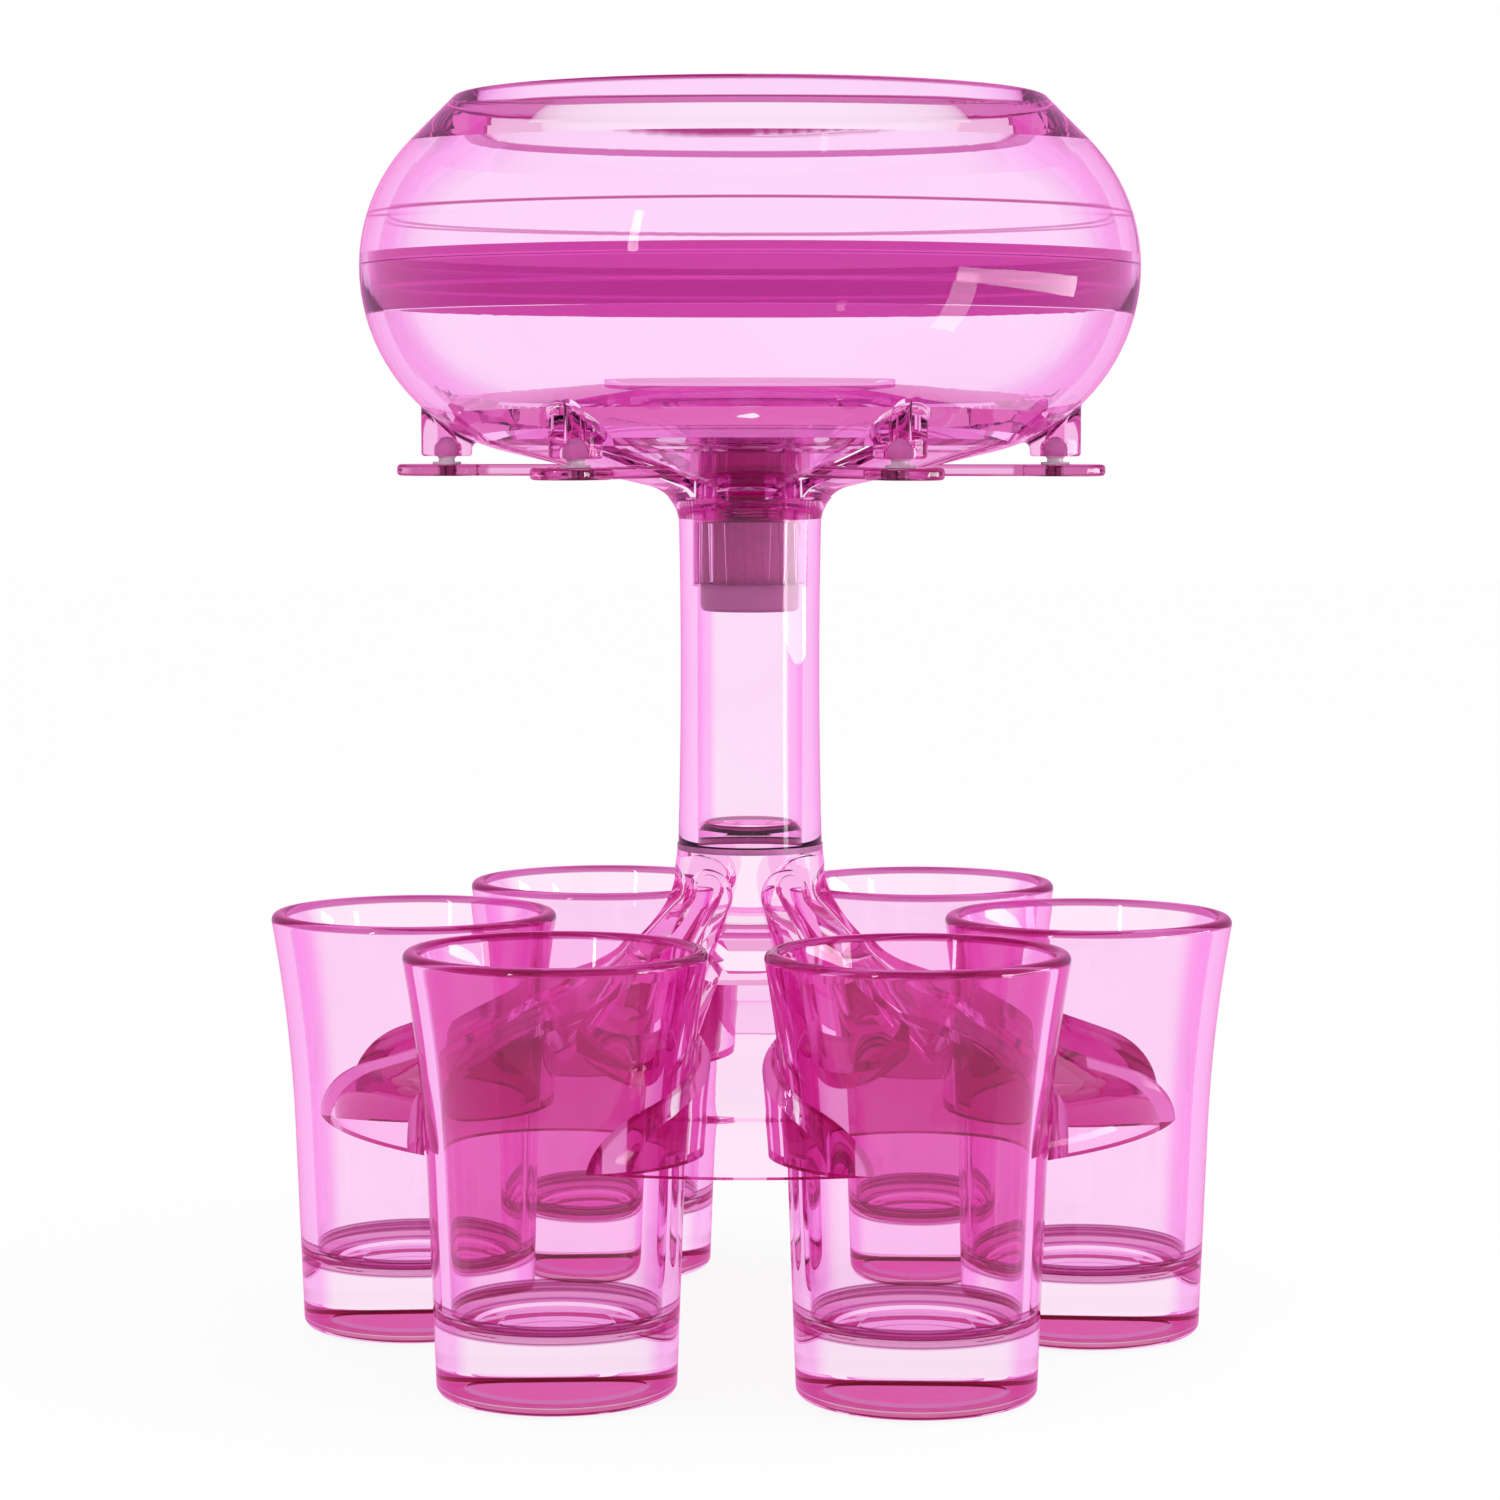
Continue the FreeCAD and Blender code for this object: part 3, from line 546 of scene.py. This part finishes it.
def bend(start, middle, end, steps=14):
    """Points (r, z) from start to end on the arc that runs over middle."""
    a, b, c = Vector(start), Vector(middle), Vector(end)
    twice_area = 2 * (a.x * (b.y - c.y) + b.x * (c.y - a.y) + c.x * (a.y - b.y))
    squares = a.length_squared, b.length_squared, c.length_squared
    centre = Vector((
        (squares[0] * (b.y - c.y) + squares[1] * (c.y - a.y) + squares[2] * (a.y - b.y)) / twice_area,
        (squares[0] * (c.x - b.x) + squares[1] * (a.x - c.x) + squares[2] * (b.x - a.x)) / twice_area,
    ))
    sweep = (a - centre).angle_signed(c - centre)
    return [tuple(centre + turned(a - centre, sweep * step / steps)) for step in range(steps + 1)]


def finished_mesh(name, form, crease):
    """Mesh of a finished bmesh form, smooth but for its edges sharper than crease, in degrees."""
    bmesh.ops.recalc_face_normals(form, faces=form.faces)
    mesh = bpy.data.meshes.new(name)
    form.to_mesh(mesh)
    form.free()
    mesh.shade_smooth()
    mesh.set_sharp_from_angle(angle=math.radians(crease))
    return mesh


def lathe(name, outline, segments=192):
    """Mesh of a closed body turned about Z from an outline of (r, z) points; points at r 0 close its ends."""
    form = bmesh.new()
    rings = []
    for r, z in outline:
        if r < ON_AXIS:
            rings.append([form.verts.new((0.0, 0.0, z))])
            continue
        turns = [math.tau * k / segments for k in range(segments)]
        rings.append([form.verts.new((r * math.cos(turn), r * math.sin(turn), z)) for turn in turns])
    for low, high in zip(rings, rings[1:] + rings[:1]):
        if len(low) == 1 and len(high) == 1:
            continue
        for k in range(segments):
            after = k + 1
            corners = low[k % len(low)], low[after % len(low)], high[after % len(high)], high[k % len(high)]
            form.faces.new(list(dict.fromkeys(corners)))
    return finished_mesh(name, form, CUP_CREASE)


def coil(name, radius, wire_r, low_z, high_z, turns, sides=12, steps=32):
    """Mesh of a wire wound up round Z, whose middle runs from low_z to high_z, with closed ends."""
    form = bmesh.new()
    count = round(turns * steps)
    rise = (high_z - low_z) / count
    rings = []
    for index in range(count + 1):
        turn = math.tau * turns * index / count
        outward = Vector((math.cos(turn), math.sin(turn), 0.0))
        along = Vector((
            -outward.y * radius * math.tau / steps, outward.x * radius * math.tau / steps, rise)).normalized()
        upward = outward.cross(along)
        middle = outward * radius + Vector((0.0, 0.0, low_z + rise * index))
        rings.append([
            form.verts.new(middle + (
                outward * math.cos(math.tau * k / sides) + upward * math.sin(math.tau * k / sides)) * wire_r)
            for k in range(sides)
        ])
    for low, high in zip(rings, rings[1:]):
        for k in range(sides):
            form.faces.new((low[k], low[(k + 1) % sides], high[(k + 1) % sides], high[k]))
    form.faces.new(rings[0])
    form.faces.new(rings[-1])
    return finished_mesh(name, form, COIL_CREASE)


def stand_in(name, mesh, material, place, body, slot, *nodes):
    """Puts a mesh at a place (x, y) on a body, in place of frame nodes, with their finish."""
    piece = bpy.data.objects.new(name, mesh)
    piece.location = (*place, 0.0)
    bpy.context.scene.collection.objects.link(piece)
    piece.modifiers.new("crisp flats", "WEIGHTED_NORMAL").keep_sharp = True
    dress(piece, material)
    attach(piece, body)
    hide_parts(*nodes)


def dress(piece, material):
    """Gives a piece one material."""
    piece.data.materials.clear()
    piece.data.materials.append(material)
    return piece


def frame_centre(node):
    """Middle of a frame node's box, seen from above."""
    low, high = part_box(node)
    return (low.x + high.x) / 2, (low.y + high.y) / 2


# ---------------------------------------------------------------- settings
def tint_property(name, description, default):
    """A colour that one wall gives to light."""
    return FloatVectorProperty(
        name=name, description=description, subtype="COLOR", default=default, min=0.0, max=1.0)


def length_property(name, description, default):
    """A length in metres."""
    return FloatProperty(
        name=name, description=description, subtype="DISTANCE", unit="LENGTH", default=default, min=0.0)


class LookSettings(PropertyGroup):
    """Colours and optics that the clear pieces share."""

    bowl_tint: tint_property(
        "Bowl tint", "Colour that one wall of the bowl gives to light", (1.0, 0.84, 0.995))
    neck_tint: tint_property(
        "Neck tint", "Colour that one wall of the neck gives to light", (1.0, 0.88, 0.985))
    carrier_tint: tint_property(
        "Carrier tint", "Colour that one wall of the carrier gives to light", (0.995, 0.82, 0.96))
    cup_tint: tint_property("Cup tint", "Colour that one wall of a cup gives to light", (1.0, 0.82, 0.97))
    # Painted shade: the deep tint of a cup's underside.
    foot_shade_tint: tint_property("Foot tint", "Colour that a cup's underside gives to light", (0.42, 0.006, 0.10))
    # Painted shade: the deep tint of the middle of a cup's underside.
    dimple_shade_tint: tint_property(
        "Dimple tint", "Colour that the middle of a cup's underside gives to light", (0.55, 0.015, 0.17))
    # Painted shade: the darker corner inside a cup.
    corner_shade_tint: tint_property(
        "Corner tint", "Colour that the corner inside a cup gives to light", (0.60, 0.13, 0.37))
    # Painted shade: dark lines at the rims of the cups and the bowl, and under a cup's base.
    line_shade_tint: tint_property("Line tint", "Colour that rims and steps give to light", (0.42, 0.04, 0.22))
    # Painted shade: the dark lines in a cup's corner and at the edge of its recess.
    deep_line_shade_tint: tint_property(
        "Groove tint", "Colour that the lines in a cup's corner give to light", (0.20, 0.015, 0.10))
    # Painted shade: the dark edges of the valve plate and the line round the inside of the bowl.
    edge_shade_tint: tint_property(
        "Plate edge tint", "Colour that the valve plate's edges give to light", (0.55, 0.12, 0.34))
    # Painted shade: the darker rim of a cup.
    rim_shade_tint: tint_property("Rim tint", "Colour that the rim of a cup gives to light", (0.85, 0.30, 0.65))
    # Painted shade: the darker flutes of the carrier.
    flute_shade_tint: tint_property(
        "Flute tint", "Colour that the carrier's flutes give to light", (0.96, 0.48, 0.82))
    # Painted shade: the darker walls of the carrier's pockets.
    pocket_shade_tint: tint_property(
        "Pocket tint", "Colour that the walls of the cup pockets give to light", (0.62, 0.16, 0.38))
    # Painted shade: the darker nozzles.
    nozzle_shade_tint: tint_property("Nozzle tint", "Colour that the nozzles give to light", (0.93, 0.50, 0.80))
    valve_tint: tint_property(
        "Valve tint", "Colour of the valve plate's arms and of the plunger", (0.88, 0.46, 0.74))
    # Painted shade: the darker tabs of the valve plate.
    tab_shade_tint: tint_property(
        "Tab tint", "Colour that the valve plate's tabs give to light", (0.60, 0.14, 0.38))
    # Painted shade: the darker hub of the bowl, of the valve plate and of the plug's guide.
    hub_shade_tint: tint_property(
        "Hub tint", "Colour that the valve's hub and guide give to light", (0.74, 0.20, 0.58))
    sleeve_tint: tint_property(
        "Sleeve tint", "Colour of the solid part of the plug under the bowl", (0.86, 0.31, 0.62))
    # Painted reflection: the joint ring's deeper tint stands in for a dark reflected band.
    seam_tint: tint_property("Seam tint", "Colour of the joint ring in the bowl's wall", (0.80, 0.52, 0.76))
    edge_tint: tint_property("Edge tint", "What a wall seen aslant adds to its tint", (1.0, 0.42, 0.92))
    refraction: FloatProperty(
        name="Refraction", description="Index of refraction of the clear plastic",
        default=1.33, min=1.0, max=1.7)
    waviness: FloatProperty(
        name="Waviness", description="How wavy the moulded skins are", subtype="FACTOR",
        default=0.04, min=0.0, max=1.0)


class CupSettings(PropertyGroup):
    """Sizes of a shot cup."""

    height: length_property("Height", "Height of the cup", 0.0653)
    foot_r: length_property("Foot radius", "Outer radius at the bottom", 0.01765)
    waist_r: length_property("Waist radius", "Outer radius where the flare starts", 0.01885)
    waist_z: length_property("Waist height", "Height where the flare starts", 0.032)
    rim_r: length_property("Rim radius", "Outer radius at the rim", 0.022543)
    flare_sag: length_property("Flare sag", "How far the flare bends in from a straight line", 0.0006)
    wall: length_property("Wall", "Thickness of the wall", 0.0026)
    floor_z: length_property("Floor height", "Height of the inner floor at the wall", 0.0106)
    recess_r: length_property("Recess radius", "Radius of the shallow recess under the base", 0.0142)
    recess_z: length_property("Recess depth", "Depth of the shallow recess under the base", 0.0008)
    dimple_r: length_property("Dimple radius", "Radius of the deeper middle of the recess", 0.0098)
    dimple_z: length_property("Dimple depth", "Depth of the middle of the recess", 0.0013)


class SpringSettings(PropertyGroup):
    """Sizes of the valve's spring."""

    turns: FloatProperty(name="Turns", description="How many turns the spring has", default=9.0, min=1.0)
    wire_r: length_property("Wire radius", "Radius of the spring's wire", 0.00045)


class BowlSettings(PropertyGroup):
    """Where the bowl's mouth, lines and nozzles lie, and the valve plate below them."""

    mouth_r: length_property("Mouth radius", "Inner radius of the mouth", 0.0434)
    rim_z: length_property("Rim height", "Height of the rim", 0.19165)
    ledge_z: length_property("Ledge height", "Height of the line round the inside above the joint", 0.1735)
    seam_line_z: length_property("Joint line height", "Height of the thin line round the joint ring", 0.1622)
    high_line_z: length_property(
        "Upper line height", "Height of the upper thin line round the joint ring", 0.1659)
    nozzle_circle_r: length_property("Nozzle circle", "Radius of the circle of nozzles", 0.04725)
    plate_z: length_property("Plate height", "Height of the underside of the valve plate", 0.1334)


class CarrierSettings(PropertyGroup):
    """Where the carrier's flutes and pockets lie."""

    cup_circle_r: length_property("Cup circle", "Radius of the circle of cup axes", 0.0528)
    pocket_r: length_property("Pocket radius", "Radius that a pocket would have at the floor", 0.0158)
    pocket_spread: FloatProperty(
        name="Pocket spread", description="How much wider a pocket gets for each metre of height",
        default=0.10)
    flute_top_r: length_property("Flute top radius", "Distance of a flute's top from the neck's axis", 0.0129)
    flute_top_z: length_property("Flute top height", "Height of a flute's top", 0.069086)
    flute_tilt: FloatProperty(
        name="Flute tilt", description="Slope of a flute's axis", subtype="ANGLE", default=math.radians(41.0))
    flute_r: length_property("Flute radius", "Radius of a flute at its top", 0.0043)
    flute_spread: FloatProperty(
        name="Flute spread", description="How much wider a flute gets for each metre of length",
        default=0.137)


class StageSettings(PropertyGroup):
    """Studio round the dispenser."""

    lens: FloatProperty(
        name="Lens", description="Focal length of the camera, in millimetres", subtype="DISTANCE_CAMERA",
        default=99.28, min=10.0, max=300.0)
    ambient: FloatProperty(
        name="Ambient", description="Strength of the light from all sides", default=0.95, min=0.0, max=5.0)
    spent_light: tint_property(
        "Spent light", "Colour of light that has crossed many skins", (0.74, 0.17, 0.48))
    dark_light: tint_property(
        "Dark light", "Colour of light from deep inside the plastic", (0.50, 0.09, 0.31))
    dark_skins: FloatProperty(
        name="Dark skins", description="How many skins light crosses before it is dark",
        default=30.0, min=2.0, max=64.0)
    mirrored_light: tint_property(
        "Mirrored light", "Colour of the surround in the plastic's gloss", (0.98, 0.32, 0.76))
    clear_skins: FloatProperty(
        name="Clear skins", description="How many skins light crosses before it is spent",
        default=7.0, min=1.0, max=32.0)


# ---------------------------------------------------------------- operators
class DISPENSER_OT_bowl(Operator):
    """Dress the bowl and the joint ring in its wall"""

    bl_idname = "dispenser.bowl"
    bl_label = "Bowl"

    def execute(self, context):
        looks = context.scene.dispenser_looks
        look = looks, looks.bowl_tint, BOWL_SLANT
        finishes = {
            "bowl_top": clear_plastic("bowl_top_clear", *look, rim_shade_zones, BOWL_REFRACTION),
            "bowl_base": clear_plastic("bowl_base_clear", *look, nozzle_shade_zones, BOWL_REFRACTION),
            "skirt": clear_plastic("skirt_clear", *look, refraction=SKIRT_REFRACTION),
        }
        for node, finish in finishes.items():
            dress(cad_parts[node], finish)
        # Painted reflection: the joint ring's deeper tint stands in for a dark band reflected in the bowl's
        # wall.
        seam = clear_plastic("seam_tint", looks, looks.seam_tint, SEAM_SLANT, seam_reflection_zones, BOWL_REFRACTION)
        dress(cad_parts["bowl_seal_ring"], seam)
        return {"FINISHED"}


class DISPENSER_OT_stand(Operator):
    """Dress the neck, its joint ring and the cup carrier"""

    bl_idname = "dispenser.stand"
    bl_label = "Neck and carrier"

    def execute(self, context):
        looks = context.scene.dispenser_looks
        neck = clear_plastic("neck_clear", looks, looks.neck_tint, NECK_SLANT)
        dress(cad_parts["neck_tube"], neck)
        look = looks, looks.carrier_tint, CARRIER_SLANT, carrier_shade_zones, CARRIER_REFRACTION
        carrier = clear_plastic("carrier_clear", *look)
        dress(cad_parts["cup_carrier"], carrier)
        dark = soft_silicone("dark_seal", *JOINT_RING_TINTS)
        dress(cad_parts["joint_ring"], dark)
        return {"FINISHED"}


class DISPENSER_OT_cups(Operator):
    """Make the six shot cups: flared wall, thick base with a recess under it, and a stepped floor"""

    bl_idname = "dispenser.cups"
    bl_label = "Shot cups"

    def execute(self, context):
        looks = context.scene.dispenser_looks
        cup = context.scene.dispenser_cup
        clear = cup_plastic("cup_clear", looks, cup)
        mesh = lathe("shot_cup", self.outline(cup))
        for number in CUPS:
            node = f"shot_cup_{number}"
            place = frame_centre(node)
            stand_in(f"clear_cup_{number}", mesh, clear, place, f"cup_{number}", "cup_clear", node)
        return {"FINISHED"}

    @staticmethod
    def outline(cup):
        """Outline of a cup from the middle of its base, round the outside and over the rim to its floor."""
        inner_waist_r = cup.waist_r - cup.wall
        inner_rim_r = cup.rim_r - cup.wall
        inner_foot_r = cup.foot_r - cup.wall + (cup.waist_r - cup.foot_r) * cup.floor_z / cup.waist_z
        sag = (cup.waist_r + cup.rim_r) / 2 - cup.flare_sag, (cup.waist_z + cup.height) / 2
        inner_sag = sag[0] - cup.wall, sag[1]
        outer = bend((cup.waist_r, cup.waist_z), sag, (cup.rim_r, cup.height))
        inner = bend((inner_rim_r, cup.height), inner_sag, (inner_waist_r, cup.waist_z))
        return rounded([
            (0.0, cup.dimple_z),
            (cup.dimple_r, cup.dimple_z, STEP_ROUND),
            (cup.dimple_r, cup.recess_z, STEP_ROUND),
            (cup.recess_r, cup.recess_z, RECESS_ROUND),
            (cup.recess_r, 0.0, FOOT_RING_ROUND),
            (cup.foot_r, 0.0, FOOT_ROUND),
            *outer[:-1],
            (*outer[-1], RIM_ROUND),
            (*inner[0], RIM_ROUND),
            *inner[1:],
            (inner_foot_r, cup.floor_z, CORNER_ROUND),
            (RING_STEP_R[0], cup.floor_z, STEP_ROUND),
            (RING_STEP_R[1], cup.floor_z - RING_DEPTH, STEP_ROUND),
            (DISC_STEP_R[1], cup.floor_z - RING_DEPTH, STEP_ROUND),
            (DISC_STEP_R[0], cup.floor_z - DISC_DEPTH, STEP_ROUND),
            (0.0, cup.floor_z - DISC_DEPTH),
        ])


class DISPENSER_OT_valve(Operator):
    """Dress the valve plate and plunger, the plug under the bowl, the spring's seat and the seal plugs"""

    bl_idname = "dispenser.valve"
    bl_label = "Valve"

    def execute(self, context):
        looks = context.scene.dispenser_looks
        plate = clear_plastic("valve_clear", looks, looks.valve_tint, VALVE_SLANT, tab_shade_zones)
        foot_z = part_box("spigot_plug")[0].z + SPIGOT_LENGTH
        sleeve = sleeve_plastic("sleeve_tint", looks, foot_z, foot_z + SLEEVE_LENGTH)
        dark = soft_silicone("seat_seal", *SEAT_TINTS)
        seal = soft_silicone("seal", *PLUG_TINTS)
        for node in ("valve_plate", "plunger"):
            dress(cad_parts[node], plate)
        dress(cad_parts["spigot_plug"], sleeve)
        dress(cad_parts["spring_seat"], dark)
        for number in CUPS:
            dress(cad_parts[f"seal_plug_{number}"], seal)
        return {"FINISHED"}


class DISPENSER_OT_spring(Operator):
    """Make the valve's spring, which stands on its seat"""

    bl_idname = "dispenser.spring"
    bl_label = "Spring"

    def execute(self, context):
        spring = context.scene.dispenser_spring
        low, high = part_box("valve_spring")
        low_z, high_z = low.z + spring.wire_r, high.z - spring.wire_r
        mesh = coil("valve_spring_coil", high.x - spring.wire_r, spring.wire_r, low_z, high_z, spring.turns)
        piece = bpy.data.objects.new("coil_spring", mesh)
        context.scene.collection.objects.link(piece)
        dress(piece, spring_wire("spring_steel", STEEL_TINT))
        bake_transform(piece)
        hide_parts("valve_spring")
        return {"FINISHED"}


class DISPENSER_OT_stage(Operator):
    """Set up the floor, the white surround, the lamps and the camera"""

    bl_idname = "dispenser.stage"
    bl_label = "Stage"

    def execute(self, context):
        settings = context.scene.dispenser_stage
        context.scene.view_settings.view_transform = "Standard"
        for kind in ("max_bounces", "transmission_bounces", "glossy_bounces"):
            setattr(context.scene.cycles, kind, LIGHT_BOUNCES)
        self.make_world(context, settings)
        self.make_floor(context, settings)
        self.make_lamps(context)
        self.make_camera(context, settings)
        return {"FINISHED"}

    @staticmethod
    def make_world(context, settings):
        world = bpy.data.worlds.new("studio")
        graph = Graph(world)
        dim = graph.node("ShaderNodeBackground", {}, {"Color": WHITE, "Strength": settings.ambient})
        shown = seen_white(graph, settings)
        white = graph.node("ShaderNodeBackground", {}, {"Color": shown, "Strength": 1.0})
        mixed = graph.node("ShaderNodeMixShader", {}, {0: seen(graph), 1: dim, 2: white})
        graph.node("ShaderNodeOutputWorld", {}, {"Surface": mixed})
        context.scene.world = world

    @staticmethod
    def make_floor(context, settings):
        mesh = bpy.data.meshes.new("floor")
        form = bmesh.new()
        bmesh.ops.create_grid(form, x_segments=8, y_segments=8, size=FLOOR_SIZE)
        form.to_mesh(mesh)
        form.free()
        floor = bpy.data.objects.new("floor", mesh)
        floor.location.z = FLOOR_Z
        context.scene.collection.objects.link(floor)
        material, graph = new_material("pale_floor")
        matt = graph.node("ShaderNodeBsdfDiffuse", {}, {"Color": FLOOR_GREY})
        white = graph.node("ShaderNodeEmission", {}, {"Color": seen_white(graph, settings), "Strength": 1.0})
        share = seen(graph) * FLOOR_SEEN_WHITE
        graph.surface(graph.node("ShaderNodeMixShader", {}, {0: share, 1: matt, 2: white}))
        floor.data.materials.append(material)

    @staticmethod
    def make_lamps(context):
        for name, place, aim, size, power in LAMPS:
            light = bpy.data.lights.new(name, "AREA")
            light.shape = "RECTANGLE"
            light.size, light.size_y = size
            light.energy = power
            lamp = bpy.data.objects.new(name, light)
            lamp.location = place
            lamp.visible_camera = False
            lamp.visible_transmission = False
            lamp.rotation_euler = (Vector(aim) - Vector(place)).to_track_quat("-Z", "Y").to_euler()
            context.scene.collection.objects.link(lamp)

    @staticmethod
    def make_camera(context, settings):
        data = bpy.data.cameras.new("camera")
        data.lens = settings.lens
        data.sensor_width = SENSOR_WIDTH
        camera = bpy.data.objects.new("camera", data)
        camera.location = CAMERA_PLACE
        camera.rotation_euler = CAMERA_TURN
        context.scene.collection.objects.link(camera)
        context.scene.camera = camera


def seen(graph):
    """1 for rays that show the surround to the eye: straight, mirrored or through clear plastic."""
    camera = graph.node("ShaderNodeLightPath", {}, {}, output="Is Camera Ray")
    glossy = graph.node("ShaderNodeLightPath", {}, {}, output="Is Glossy Ray")
    through = graph.node("ShaderNodeLightPath", {}, {}, output="Is Transmission Ray")
    return camera.larger(glossy).larger(through)


def seen_white(graph, settings):
    """White, pinker in the gloss, then the colours of spent and of dark light as rays cross more skins."""
    depth = graph.node("ShaderNodeLightPath", {}, {}, output="Ray Depth")
    bounces = graph.node("ShaderNodeLightPath", {}, {}, output="Glossy Depth")
    mirrored = graph.node("ShaderNodeLightPath", {}, {}, output="Is Reflection Ray")
    skins = depth + bounces
    fresh = graph.mix(mirrored, WHITE, rgba(settings.mirrored_light))
    is_spent = skins.between(settings.clear_skins - 1.0, settings.clear_skins + 1.0)
    is_dark = skins.between(settings.clear_skins + 2.0, settings.dark_skins)
    spent = graph.mix(is_spent, fresh, rgba(settings.spent_light))
    return graph.mix(is_dark, spent, rgba(settings.dark_light))


class DISPENSER_PT_panel(Panel):
    """Pieces of the dispenser"""

    bl_idname = "DISPENSER_PT_panel"
    bl_label = "Party shot dispenser"
    bl_space_type = "VIEW_3D"
    bl_region_type = "UI"
    bl_category = "Dispenser"

    def draw(self, context):
        for operator in OPERATORS:
            self.layout.operator(operator.bl_idname)
        for settings_name in SETTINGS:
            group = getattr(context.scene, settings_name)
            box = self.layout.box()
            for name in group.__annotations__:
                box.prop(group, name)


OPERATORS = (
    DISPENSER_OT_bowl,
    DISPENSER_OT_stand,
    DISPENSER_OT_cups,
    DISPENSER_OT_valve,
    DISPENSER_OT_spring,
    DISPENSER_OT_stage,
)
SETTINGS = {
    "dispenser_looks": LookSettings,
    "dispenser_cup": CupSettings,
    "dispenser_spring": SpringSettings,
    "dispenser_bowl": BowlSettings,
    "dispenser_carrier": CarrierSettings,
    "dispenser_stage": StageSettings,
}
CLASSES = (*SETTINGS.values(), *OPERATORS, DISPENSER_PT_panel)


def register():
    for each in CLASSES:
        bpy.utils.register_class(each)
    for settings_name, group in SETTINGS.items():
        setattr(bpy.types.Scene, settings_name, PointerProperty(type=group))


def unregister():
    for settings_name in SETTINGS:
        delattr(bpy.types.Scene, settings_name)
    for each in reversed(CLASSES):
        bpy.utils.unregister_class(each)


def main():
    register()
    bpy.ops.dispenser.bowl()
    bpy.ops.dispenser.stand()
    bpy.ops.dispenser.cups()
    bpy.ops.dispenser.valve()
    bpy.ops.dispenser.spring()
    bpy.ops.dispenser.stage()


if __name__ == "__main__":
    main()
